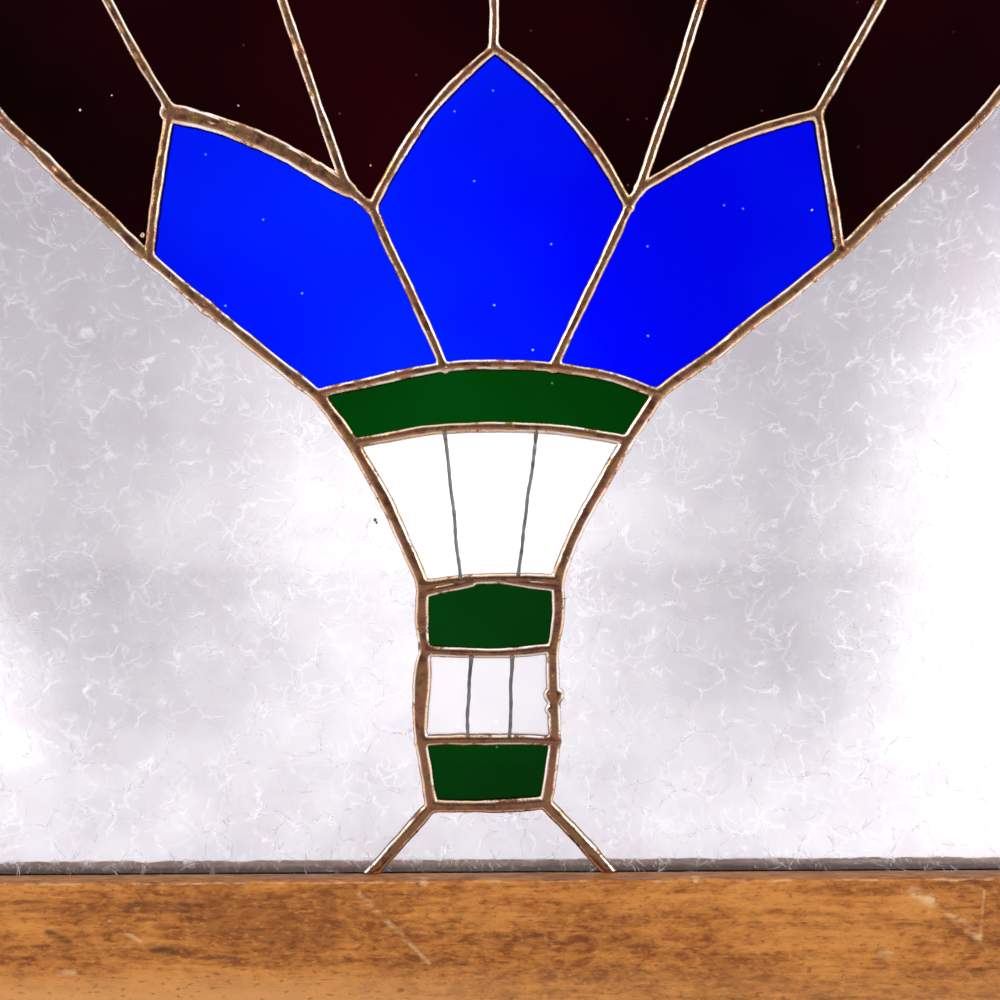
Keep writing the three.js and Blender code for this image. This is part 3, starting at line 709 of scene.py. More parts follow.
def patina(name, tones, brights, roughness, shoulder, rubbed=330.0):
    """A metal finish in a dark, a warm and an olive tone, with a painted highlight on its shoulders in broken
    lengths, a painted dark rim and rubbed bright spots.
    """
    material, tree, shader = begin(name, Metallic=1.0)
    where = where_on_piece(tree)
    dark, warm, olive = tones
    bright = blend(tree, spread(tree, cloud(tree, where, 60.0, 2.0), 0.40, 0.58), *brights)
    tone = blend(tree, spread(tree, cloud(tree, where, 110.0, 4.0, 0.6), 0.42, 0.60), warm, olive)
    tone = blend(tree, spread(tree, cloud(tree, where, 190.0, 4.0, 0.6), 0.50, 0.66), tone, dark)
    fine = cloud(tree, where, 900.0, 3.0, 0.6)
    slope = put(tree, "SeparateXYZ", {0: put(tree, "TexCoord").outputs["Normal"]}).outputs["Y"]
    steep = sums(tree, "ABSOLUTE", slope)
    # Painted shade: the rim of each bead next to the glass is coloured dark.
    rim = spread(tree, steep, *RIM_SLOPE, 0.0, 0.8)
    # Painted highlight: the shoulders of each bead, found by their slope, get the bright tone in broken
    # lengths.
    flank = sums(tree, "SUBTRACT", spread(tree, steep, *shoulder), rim)
    # Painted shade: seams low on the panel get a darker tone.
    low = spread(tree, put(tree, "SeparateXYZ", {0: where}).outputs[2], *LOW_SEAM_SHADE, 0.0, 0.5)
    tone = blend(tree, low, tone, tuple(part * 0.9 for part in dark))
    tone = blend(tree, rim, tone, dark)
    kept = spread(tree, cloud(tree, where, 95.0, 5.0, 0.75), 0.40, 0.47)
    worn = spread(tree, cloud(tree, where, rubbed, 4.0, 0.65), 0.66, 0.74)
    lit = sums(tree, "MAXIMUM", sums(tree, "MULTIPLY", flank, kept), sums(tree, "MULTIPLY", worn, 0.7))
    feed(tree, blend(tree, lit, tone, bright), shader, "Base Color")
    feed(tree, spread(tree, fine, 0.3, 0.7, *roughness), shader, "Roughness")
    lumps = sums(tree, "ADD", cloud(tree, where, 300.0, 3.0, 0.5), sums(tree, "MULTIPLY", fine, 0.25))
    add_bump(tree, shader, lumps, 0.4 * MM, 0.35)
    return material


COPPER_TONES = ((0.16, 0.058, 0.040), (0.40, 0.175, 0.100), (0.35, 0.205, 0.082))
TIN_TONES = ((0.12, 0.115, 0.11), (0.36, 0.35, 0.33), (0.26, 0.25, 0.23))
# Bright tones for the painted highlight on the shoulders and for the rubbed spots.
COPPER_WEAR_AND_HIGHLIGHT = ((0.98, 0.88, 0.76), (0.86, 0.60, 0.38))
TIN_WEAR_AND_HIGHLIGHT = ((0.66, 0.64, 0.61), (0.60, 0.57, 0.53))
copper = patina("Solder with copper patina", COPPER_TONES, COPPER_WEAR_AND_HIGHLIGHT, (0.16, 0.32), (0.965, 0.90))
tinned = patina("Tinned wire", TIN_TONES, TIN_WEAR_AND_HIGHLIGHT, (0.35, 0.6), (0.2, 0.1), 620.0)
solder.data.materials.clear()
solder.data.materials.append(copper)
seam_metal = into_scene("solder_beads", solder.data)
bpy.data.objects.remove(solder)
seam_metal.data.polygons.foreach_set("use_smooth", [True] * len(seam_metal.data.polygons))
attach(seam_metal, window_body)
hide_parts("solder_seams")

# %% [markdown]
# ## The balloon's ropes
# Four tinned copper wires stand for the ropes. Each lies on the front of the glass, with its
# ends soldered to the seams above and below.

# %% The rope wires
ROPES = {
    "rope_wire_skirt_left": [(-28.0, 245), (-25.4, 221), (-23.5, 203), (-19.5, 160)],
    "rope_wire_skirt_right": [(23.2, 246), (20.8, 226), (17.5, 205), (12.2, 162)],
    "rope_wire_panel_left": [(-13.4, 121), (-15.0, 106), (-15.9, 90), (-16.0, 73)],
    "rope_wire_panel_right": [(8.6, 121), (8.2, 106), (7.7, 90), (7.0, 73)],
}
WIRE_RADIUS = 0.7
WIRE_LIFT = 2.5
WIRE_CUT = 1
WIRE_STEP = 1.2


def wire_mesh(dice, places):
    """A bent wire with a flared blob of solder at its upper end."""
    line = softened(evened(np.array(places, dtype=float) * UNIT, WIRE_STEP), 6)[WIRE_CUT:-WIRE_CUT]
    run = np.arange(len(line)) * WIRE_STEP
    line += 0.16 * np.stack([wander(dice, run, 17), np.zeros(len(line))], axis=1)
    flare = 0.5 * np.exp(-run / 2.5) + 0.25 * np.exp(-(run[-1] - run) / 1.5)
    thick = WIRE_RADIUS * (1 + 0.12 * wander(dice, run, 5) + flare)
    ahead = np.gradient(line, axis=0)
    ahead /= np.linalg.norm(ahead, axis=1)[:, None]
    aside = np.stack([-ahead[:, 1], ahead[:, 0]], axis=1)
    spokes = 10
    points, faces = [], []
    for place, side, radius in zip(line, aside, thick):
        for spoke in range(spokes):
            angle = 2 * math.pi * spoke / spokes
            flat = place + side * radius * math.cos(angle)
            points.append((flat[0], flat[1], WIRE_LIFT + min(radius, 0.95) * math.sin(angle)))
    for row in range(len(line) - 1):
        for spoke in range(spokes):
            right = (spoke + 1) % spokes
            faces.append((row * spokes + spoke, row * spokes + right,
                          (row + 1) * spokes + right, (row + 1) * spokes + spoke))
    faces.append(tuple(range(spokes))[::-1])
    faces.append(tuple((len(line) - 1) * spokes + spoke for spoke in range(spokes)))
    return np.array(points), faces


for number, (node, places) in enumerate(ROPES.items()):
    points, faces = wire_mesh(np.random.default_rng(40 + number), places)
    make_piece(node.replace("rope_wire", "bent_wire"), to_room(points), faces, tinned, [node])

# %% [markdown]
# ## Coloured glass
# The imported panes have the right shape, so they stay and only get their glass. Light goes
# through the shader's transmission; its colour is the colour of the sheet, and a slow ripple
# in the surface bends what is seen through it.

# %% A ripple for every glass, built once as a group
BUBBLE_CELLS = 130.0
BUBBLE_RADIUS = 0.07
PLAIN_CELLS = 0.975
ripple = bpy.data.node_groups.new("Glass ripple", "ShaderNodeTree")
ripple.interface.new_socket("Where", in_out="INPUT", socket_type="NodeSocketVector")
ripple.interface.new_socket("Waves per metre", in_out="INPUT", socket_type="NodeSocketFloat")
ripple.interface.new_socket("Height", in_out="OUTPUT", socket_type="NodeSocketFloat")
ripple.interface.new_socket("Bubble", in_out="OUTPUT", socket_type="NodeSocketFloat")
ins = ripple.nodes.new("NodeGroupInput")
outs = ripple.nodes.new("NodeGroupOutput")
face = face_of(ripple, ins.outputs["Where"])
waves = cloud(ripple, face, ins.outputs["Waves per metre"], 2.0, 0.4, flat=True)
cells = put(ripple, "TexVoronoi", {"Vector": face, "Scale": BUBBLE_CELLS}, voronoi_dimensions="2D")
lot = put(ripple, "SeparateColor", {0: cells.outputs["Color"]}).outputs[0]
picked = sums(ripple, "GREATER_THAN", lot, PLAIN_CELLS)
seed = sums(ripple, "LESS_THAN", cells.outputs["Distance"], BUBBLE_RADIUS)
ripple.links.new(waves, outs.inputs["Height"])
ripple.links.new(sums(ripple, "MULTIPLY", picked, seed), outs.inputs["Bubble"])


def rippled(tree, waves_per_metre):
    """Places the ripple group in a material."""
    node = tree.nodes.new("ShaderNodeGroup")
    node.node_tree = ripple
    tree.links.new(where_on_piece(tree), node.inputs["Where"])
    node.inputs["Waves per metre"].default_value = waves_per_metre
    return node


# %% The coloured sheets
def sheet(name, deep, light, gleam, streaks=14.0, gloss=0.05, reflect=0.06, ripples=30.0):
    """A see-through glass with a deep and a light tone, and bubbles painted as bright glints."""
    material, tree, shader = begin(name, Transmission_Weight=1.0, IOR=1.5, Roughness=gloss,
                                   Specular_Tint=(reflect, reflect, reflect, 1.0))
    surface = rippled(tree, ripples)
    streaky = cloud(tree, face_of(tree, where_on_piece(tree)), streaks, 3.0, flat=True)
    tone = blend(tree, spread(tree, streaky, 0.3, 0.7), deep, light)
    # Painted glint: the bubbles are coloured as bright specks.
    feed(tree, blend(tree, surface.outputs["Bubble"], tone, gleam), shader, "Base Color")
    add_bump(tree, shader, surface.outputs["Height"], 0.6 * MM, 0.4)
    return material


ruby = sheet("Ruby glass", (0.004, 0.0, 0.0003), (0.016, 0.0, 0.0015), (0.12, 0.06, 0.08), 7.0)
blue = sheet("Cobalt blue glass", (0.0, 0.001, 0.82), (0.0, 0.016, 1.0), (0.25, 0.3, 1.0), 5.0)
GREEN_GLEAM = (0.03, 0.16, 0.04)
green = sheet("Forest green glass", (0.0, 0.029, 0.0010), (0.0, 0.037, 0.0018), GREEN_GLEAM, 16.0)
green_low = sheet("Forest green glass, deeper", (0.0, 0.0235, 0.0009), (0.0, 0.030, 0.0015),
                  GREEN_GLEAM, 16.0)
opal = sheet("White opal glass", (0.93, 0.92, 0.92), (0.97, 0.97, 0.96), (1.0, 1.0, 1.0), 20.0, 0.55, 0.6)
opal_rope = sheet("Pale opal glass", (0.67, 0.65, 0.67), (0.75, 0.72, 0.74), (1.0, 1.0, 1.0), 20.0, 0.45, 0.6)
GLASSES = {
    "ruby_gore_": ruby, "blue_petal_": blue, "crown_cap": blue, "mouth_band": green,
    "burner_glass": green_low, "basket_glass": green_low, "skirt_glass": opal, "rope_panel_glass": opal_rope,
}
for name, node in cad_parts.items():
    for start, glass in GLASSES.items():
        if name.startswith(start):
            node.material_slots[0].material = glass

# %% [markdown]
# ## Frosted glass
# The pale panes are glue-chipped: dried glue has torn flakes out of the surface, and left a
# pattern of curved cells with feathered edges. The pane's own material has the soft mottle,
# and the sharp feathers are thin ridges of mesh, laid along the edges of random cells.

# %% The frosted sheet
FROST_COOL = (0.610, 0.593, 0.620)
FROST_ROSY = (0.645, 0.597, 0.620)
FROST_PALE = (0.715, 0.70, 0.715)
FROST_HIGH_SHADE = (0.46, 0.41, 0.46)
FROST_CHIPPED = (0.86, 0.85, 0.88)


def frosted_sheet():
    """Clear glass with a blurred back, a soft mottle, faint chipped lines, and a painted shade that darkens
    it higher up.
    """
    material, tree, shader = begin("Glue chip glass", Transmission_Weight=1.0, IOR=1.45,
                                   Specular_IOR_Level=0.5)
    where = where_on_piece(tree)
    face = face_of(tree, where)
    bend = put(tree, "TexNoise", {"Vector": face, "Scale": 55.0, "Detail": 4.0}, noise_dimensions="2D")
    pushed = arrows(tree, "SUBTRACT", bend.outputs["Color"], (0.5, 0.5, 0.5))
    pushed = put(tree, "VectorMath", {0: pushed, "Scale": 0.024}, operation="SCALE").outputs[0]
    bent = arrows(tree, "ADD", face, pushed)
    channels = put(tree, "SeparateColor", {0: bend.outputs["Color"]})
    broken = spread(tree, cloud(tree, face, 120.0, 3.0, flat=True), 0.45, 0.62)
    wide_cells, small_cells = [
        put(tree, "TexVoronoi", {"Vector": bent, "Scale": scale},
            voronoi_dimensions="2D", feature="DISTANCE_TO_EDGE").outputs[0] for scale in (62.0, 150.0)]
    lines = sums(tree, "MULTIPLY", spread(tree, wide_cells, 0.0, 0.05, 0.8, 0.0), broken)
    patches = spread(tree, channels.outputs[1], 0.48, 0.62)
    faint = sums(tree, "MULTIPLY", spread(tree, small_cells, 0.0, 0.10, 0.5, 0.0), patches)
    marks = sums(tree, "MAXIMUM", lines, faint)
    mottle = spread(tree, cloud(tree, face, 34.0, 4.0, 0.55, flat=True), 0.3, 0.7)
    rosy = spread(tree, channels.outputs[0], 0.42, 0.6)
    tone = blend(tree, mottle, blend(tree, rosy, FROST_COOL, FROST_ROSY), FROST_PALE)
    # Painted shade: the sheet is made darker higher up.
    height = put(tree, "SeparateXYZ", {0: where}).outputs[2]
    tone = blend(tree, spread(tree, height, 0.22, 0.36, 0.0, 0.7), tone, FROST_HIGH_SHADE)
    feed(tree, blend(tree, marks, tone, FROST_CHIPPED), shader, "Base Color")
    feed(tree, spread(tree, marks, 0.0, 1.0, 0.10, 0.45), shader, "Roughness")
    add_bump(tree, shader, mottle, 0.25 * MM, 0.6)
    return material


frosted = frosted_sheet()
for name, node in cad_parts.items():
    if name.startswith("sky_glass"):
        node.material_slots[0].material = frosted

# %% The outline of each frosted pane
def joined(*names):
    """A closed outline from seams and corners, each turned to start where the last one ended."""
    outline = []
    for name in names:
        line = seams[name] if name in seams else np.array([CORNERS[name]])
        if outline and np.linalg.norm(line[-1] - outline[-1]) < np.linalg.norm(line[0] - outline[-1]):
            line = line[::-1]
        outline.extend(line)
    return np.array(outline)


EDGE = HALF_SIGHT + 1
CORNERS = {
    "cornerBottomLeft": (-EDGE, -1), "cornerBottomRight": (EDGE, -1),
    "cornerTopLeft": (-EDGE, SIGHT_HEIGHT + 1), "cornerTopRight": (EDGE, SIGHT_HEIGHT + 1),
    "legEndLeft": joint["legEndLeft"], "legEndRight": joint["legEndRight"],
}
lower_names = ["sideSeam", "envelopeFlank", "envelopeLower", "bandSide", "skirtSide",
               "burnerSide", "ropeSide", "basketSide", "leg"]
upper_names = ["sideSeam", "envelopeUpper", "envelopeCrown"]
OUTLINES = {
    "lower_left": joined("cornerBottomLeft", *[name + "Left" for name in lower_names]),
    "lower_right": joined("cornerBottomRight", *[name + "Right" for name in lower_names]),
    "bottom": joined("legEndLeft", "legLeft", "basketBottom", "legRight", "legEndRight"),
    "upper_left": joined("cornerTopLeft", *[name + "Left" for name in upper_names], "crownSeam"),
    "upper_right": joined("cornerTopRight", *[name + "Right" for name in upper_names], "crownSeam"),
}


def inside(points, outline):
    """Which points lie in a closed outline: a line to the right crosses it an odd number of times."""
    x, y = points[:, :1], points[:, 1:2]
    x0, y0 = outline.T
    x1, y1 = np.roll(outline, -1, axis=0).T
    rise = np.where(y0 == y1, 1, y1 - y0)
    crossed = ((y0 > y) != (y1 > y)) & (x < (x1 - x0) * (y - y0) / rise + x0)
    return crossed.sum(axis=1) % 2 == 1


# %% Growing the feathers
CELL_WIDE, CELL_TALL = 13.0, 19.0
SHORTEST_FEATHER = 0.6
FEATHER_STEP = 2.2
FROST_FOOT = GLASS_FACE + 0.004


def cell_edges(dice, low, high):
    """Edges of random cells over a rectangle, as pairs of end points."""
    columns = int((high[0] - low[0]) / CELL_WIDE) + 2
    rows = int((high[1] - low[1]) / CELL_TALL) + 2
    centres = []
    for column in range(columns):
        for row in range(rows):
            centres.append(Vector((low[0] + (column - 0.5 + dice.uniform(0, 1)) * CELL_WIDE,
                                   low[1] + (row - 0.5 + dice.uniform(0, 1)) * CELL_TALL)))
    found, _, triangles, *_ = geometry.delaunay_2d_cdt(centres, [], [], 0, 1e-4)
    middles, beside = [], {}
    for number, (a, b, c) in enumerate(triangles):
        pa, pb, pc = found[a], found[b], found[c]
        middle = (pa + pb + pc) / 3
        middles.append(np.array(middle))
        for pair in ((a, b), (b, c), (c, a)):
            beside.setdefault(tuple(sorted(pair)), []).append(number)
    return [(middles[pair[0]], middles[pair[1]]) for pair in beside.values() if len(pair) == 2]


def feather(points, faces, dice, start, end, bow, width, rise):
    """One tapered ridge from start to end, bowed aside, wide in its middle."""
    length = np.linalg.norm(end - start)
    if length < SHORTEST_FEATHER:
        return
    along = (end - start) / length
    aside = np.array([-along[1], along[0]])
    count = int(np.clip(length / FEATHER_STEP, 3, 9))
    first = len(points)
    points.append((*start, FROST_FOOT + 0.03))
    for step in range(1, count):
        share = step / count
        drift = 4 * bow * share * (1 - share) + dice.normal(0, 0.12 * min(1, length / 8))
        place = start + along * length * share + aside * drift
        swell = math.sin(math.pi * min(1, share * 1.3 + 0.12)) ** 0.6
        wide = width * swell * dice.uniform(0.6, 1.25) / 2
        points.append((*(place + aside * wide), FROST_FOOT))
        points.append((*place, FROST_FOOT + rise * dice.uniform(0.7, 1.2)))
        points.append((*(place - aside * wide), FROST_FOOT))
    points.append((*end, FROST_FOOT + 0.03))
    last = len(points) - 1
    for edge in range(3):
        after = (edge + 1) % 3
        faces.append((first, first + 1 + after, first + 1 + edge))
        for step in range(count - 2):
            row = first + 1 + 3 * step
            faces.append((row + edge, row + after, row + 3 + after, row + 3 + edge))
        faces.append((last, last - 3 + edge, last - 3 + after))


def flake(points, faces, dice, place, size, rise):
    """A small chipped triangle or splinter."""
    turn = dice.uniform(0, 6.3)
    first = len(points)
    for corner in range(4):
        angle = turn + corner * math.pi / 2 + dice.uniform(-0.5, 0.5)
        reach = size * dice.uniform(0.3, 1.0)
        points.append((place[0] + reach * math.cos(angle), place[1] + reach * math.sin(angle), FROST_FOOT))
    points.append((place[0], place[1], FROST_FOOT + rise))
    for corner in range(4):
        faces.append((first + corner, first + (corner + 1) % 4, first + 4))
    faces.append((first + 3, first + 2, first + 1, first))


def turned(vector, angle):
    """A flat vector turned by an angle."""
    cos, sin = math.cos(angle), math.sin(angle)
    return np.array([vector[0] * cos - vector[1] * sin, vector[0] * sin + vector[1] * cos])


def within_pane(tip, root, outline):
    """A tip drawn back towards its root until it lies on the pane."""
    for _ in range(4):
        if not inside(tip[None], outline)[0]:
            tip = root + (tip - root) * 0.6
    return tip


def frost_mesh(dice, outline):
    """All the feathers of one pane."""
    low, high = outline.min(axis=0), outline.max(axis=0)
    edges = cell_edges(dice, low, high)
    keep = inside(np.array([(a + b) / 2 for a, b in edges]), outline)
    points, faces = [], []
    for (start, end), kept in zip(edges, keep):
        if not kept or dice.uniform() < 0.18:
            continue
        length = np.linalg.norm(end - start)
        ahead = (end - start) / max(length, 1)
        aside = turned(ahead, math.pi / 2)
        bow = dice.normal(0, 0.07) * length
        width = dice.uniform(0.35, 0.85)
        cut = dice.uniform(0, 0.15, 2)
        a, b = start + (end - start) * cut[0], end - (end - start) * cut[1]
        a, b = within_pane(a, b, outline), within_pane(b, a, outline)
        feather(points, faces, dice, a, b, bow, width, 0.06)
        if dice.uniform() < 0.4:
            shift = aside * dice.uniform(0.6, 1.6)
            feather(points, faces, dice, a + shift, b + shift * 0.3, bow, width * 0.5, 0.05)
        for _ in range(dice.integers(2, 8)):
            share = dice.uniform(0.05, 0.95)
            root = a + (b - a) * share + aside * 4 * bow * share * (1 - share)
            way = turned(ahead, dice.choice([-1, 1]) * dice.uniform(0.3, 0.8))
            reach = dice.uniform(1.5, 7.5)
            feather(points, faces, dice, root, within_pane(root + way * reach, root, outline),
                    dice.normal(0, 0.05) * reach, dice.uniform(0.2, 0.5), 0.05)
        if dice.uniform() < 0.35:
            flake(points, faces, dice, a + dice.normal(0, 0.8, 2), dice.uniform(0.5, 1.3), 0.06)
    for across in np.arange(low[0], high[0], 2.2):
        root = np.array([across + dice.normal(0, 1.0), dice.uniform(0.4, 2.5)])
        tip = root + turned(np.array([0.0, 1.0]), dice.uniform(0.2, 1.1)) * dice.uniform(1.5, 5.5)
        if low[1] < 0 and inside(np.array([root, tip]), outline).all():
            feather(points, faces, dice, tip, root, dice.normal(0, 0.3), dice.uniform(0.3, 0.75), 0.06)
    return np.array(points), faces


def frost_finish():
    """Torn glass: white where light falls on it, partly see-through, stronger in some places."""
    material, tree, shader = begin("Frost feathers", Roughness=0.8)
    face = face_of(tree, where_on_piece(tree))
    patchy = spread(tree, cloud(tree, face, 160.0, 2.0, 0.6, flat=True), 0.35, 0.65)
    feed(tree, blend(tree, patchy, (0.92, 0.91, 0.93), (1.0, 0.99, 1.0)), shader, "Base Color")
    seen = spread(tree, cloud(tree, face, 60.0, 4.0, 0.65, flat=True), 0.38, 0.66, 0.05, 0.38)
    feed(tree, seen, shader, "Alpha")
    return material


feather_white = frost_finish()
for number, (pane, outline) in enumerate(OUTLINES.items()):
    points, faces = frost_mesh(np.random.default_rng(70 + number), outline)
    near = inside(points[::20, :2], outline)
    make_piece("frost_" + pane, to_room(points), faces, feather_white)
    count = sum(len(face) - 2 for face in faces)
    print("frost", pane, "triangles:", count, "points inside:", round(near.mean(), 3))

# %% [markdown]
# A few flecks of dust and solder have dried on the glass. Each is a low dome, like the pools.

# %% The flecks on the glass
PALE_FLECKS = [((-165.3, 305.9), 0.5), ((-152.6, 311.7), 0.35), ((-102.0, 307.3), 0.4),
               ((127.2, 264.3), 0.45), ((-49.2, 283.1), 0.4)]
DARK_FLECKS = [((-48.2, 141.3), 0.7), ((-47.6, 140.2), 0.5)]


def fleck_finish(name, first, second):
    """Dull dust in two tones."""
    material, tree, shader = begin(name, Roughness=0.7)
    tone = spread(tree, cloud(tree, where_on_piece(tree), 900.0), 0.4, 0.6)
    feed(tree, blend(tree, tone, first, second), shader, "Base Color")
    return material


for name, flecks, tones in (("flecks_pale", PALE_FLECKS, ((0.50, 0.46, 0.50), (0.75, 0.70, 0.74))),
                            ("flecks_dark", DARK_FLECKS, ((0.06, 0.04, 0.03), (0.12, 0.09, 0.07)))):
    domes = [dome_mesh(np.array(place), radius, 0.3, 1, dice, 0.004) for place, radius in flecks]
    points, faces = gathered(domes)
    make_piece(name, to_room(points), faces, fleck_finish(name.replace("_", " "), *tones))

# %% [markdown]
# ## The sash
# The rails and stiles are old stained softwood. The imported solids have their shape, and each
# is built again with rounded, worn edges and small dents. The grain is one shader group that
# runs along each member.

# %% The grain, built once as a group
grain = bpy.data.node_groups.new("Wood grain", "ShaderNodeTree")
grain.interface.new_socket("Where", in_out="INPUT", socket_type="NodeSocketVector")
GRAIN_MASKS = ("Grain", "Blotch", "Mottle", "Speck")
for mask in GRAIN_MASKS:
    grain.interface.new_socket(mask, in_out="OUTPUT", socket_type="NodeSocketFloat")
ins = grain.nodes.new("NodeGroupInput")
outs = grain.nodes.new("NodeGroupOutput")


def stretched(tree, where, along, across):
    """Coordinates squeezed along the grain, so noise on them runs in streaks."""
    return arrows(tree, "MULTIPLY", where, (along, across, across))


streak = cloud(grain, stretched(grain, ins.outputs["Where"], 16.0, 240.0), 1.0, 6.0, 0.65, 0.6)
band = cloud(grain, stretched(grain, ins.outputs["Where"], 5.0, 50.0), 1.0, 2.0)
blotch = cloud(grain, stretched(grain, ins.outputs["Where"], 20.0, 44.0), 1.0, 5.0, 0.65, 0.4)
mottle = cloud(grain, stretched(grain, ins.outputs["Where"], 130.0, 340.0), 1.0, 5.0, 0.75, 0.5)
speck = cloud(grain, stretched(grain, ins.outputs["Where"], 300.0, 700.0), 1.0, 2.0, 0.5, 0.0)
grained = sums(grain, "ADD", sums(grain, "MULTIPLY", streak, 0.6), sums(grain, "MULTIPLY", band, 0.4))
for mask, found in zip(GRAIN_MASKS, (grained, blotch, mottle, speck)):
    grain.links.new(found, outs.inputs[mask])


# %% A scratch or stroke of wear, built once as a group
DEPTH_HALF = 17.5
scratch = bpy.data.node_groups.new("Scratch", "ShaderNodeTree")
for socket, kind in (("Where", "Vector"), ("From", "Vector"), ("To", "Vector"), ("Width", "Float")):
    scratch.interface.new_socket(socket, in_out="INPUT", socket_type="NodeSocket" + kind)
scratch.interface.new_socket("Mask", in_out="OUTPUT", socket_type="NodeSocketFloat")
ins = scratch.nodes.new("NodeGroupInput")
outs = scratch.nodes.new("NodeGroupOutput")
offset = arrows(scratch, "SUBTRACT", ins.outputs["Where"], ins.outputs["From"])
line = arrows(scratch, "SUBTRACT", ins.outputs["To"], ins.outputs["From"])
dot = put(scratch, "VectorMath", {0: offset, 1: line}, operation="DOT_PRODUCT").outputs["Value"]
full = put(scratch, "VectorMath", {0: line, 1: line}, operation="DOT_PRODUCT").outputs["Value"]
share = put(scratch, "Clamp", {"Value": sums(scratch, "DIVIDE", dot, full)}).outputs[0]
foot_point = put(scratch, "VectorMath", {0: line, "Scale": share}, operation="SCALE").outputs[0]
gap = put(scratch, "VectorMath", {0: offset, 1: foot_point}, operation="DISTANCE").outputs["Value"]
away = sums(scratch, "DIVIDE", gap, ins.outputs["Width"])
scratch.links.new(spread(scratch, away, 0.2, 1.0, 1.0, 0.0), outs.inputs["Mask"])


def scratched(tree, where, start, end, width):
    """Places the scratch group, from two places on the rail's face in millimetres."""
    node = tree.nodes.new("ShaderNodeGroup")
    node.node_tree = scratch
    tree.links.new(where, node.inputs["Where"])
    node.inputs["From"].default_value = (start[0] * MM, -DEPTH_HALF * MM, start[1] * MM)
    node.inputs["To"].default_value = (end[0] * MM, -DEPTH_HALF * MM, end[1] * MM)
    node.inputs["Width"].default_value = width * MM
    return node.outputs["Mask"]


# %% The stained wood
DARK_MARKS = [((-144, 66.6), (-112, 66.2), 1.4), ((-132, 63.8), (-116, 63.6), 1.0),
              ((-136, 49), (-122, 47.5), 3.0), ((-118, 45.6), (-103, 45.2), 1.5),
              ((-176, 56), (-168, 52), 2.4), ((-92, 52), (-88, 51), 1.6)]
PALE_MARKS = [((-54, 70), (-36, 52), 1.5), ((-38, 54), (-27, 43), 1.2), ((190.5, 70), (188.5, 50), 0.9),
              ((163, 69), (170, 66), 3.6), ((176, 62), (188, 52), 2.6), ((150, 46), (154, 46), 1.8),
              ((-152, 60), (-140, 52), 1.2), ((-172, 40), (-166, 40), 1.6)]
STAIN_DEEP = (0.22, 0.062, 0.012)
STAIN_MIDDLE = (0.46, 0.142, 0.022)
STAIN_GOLD = (0.74, 0.31, 0.068)
STAIN_PALE = (0.72, 0.34, 0.11)


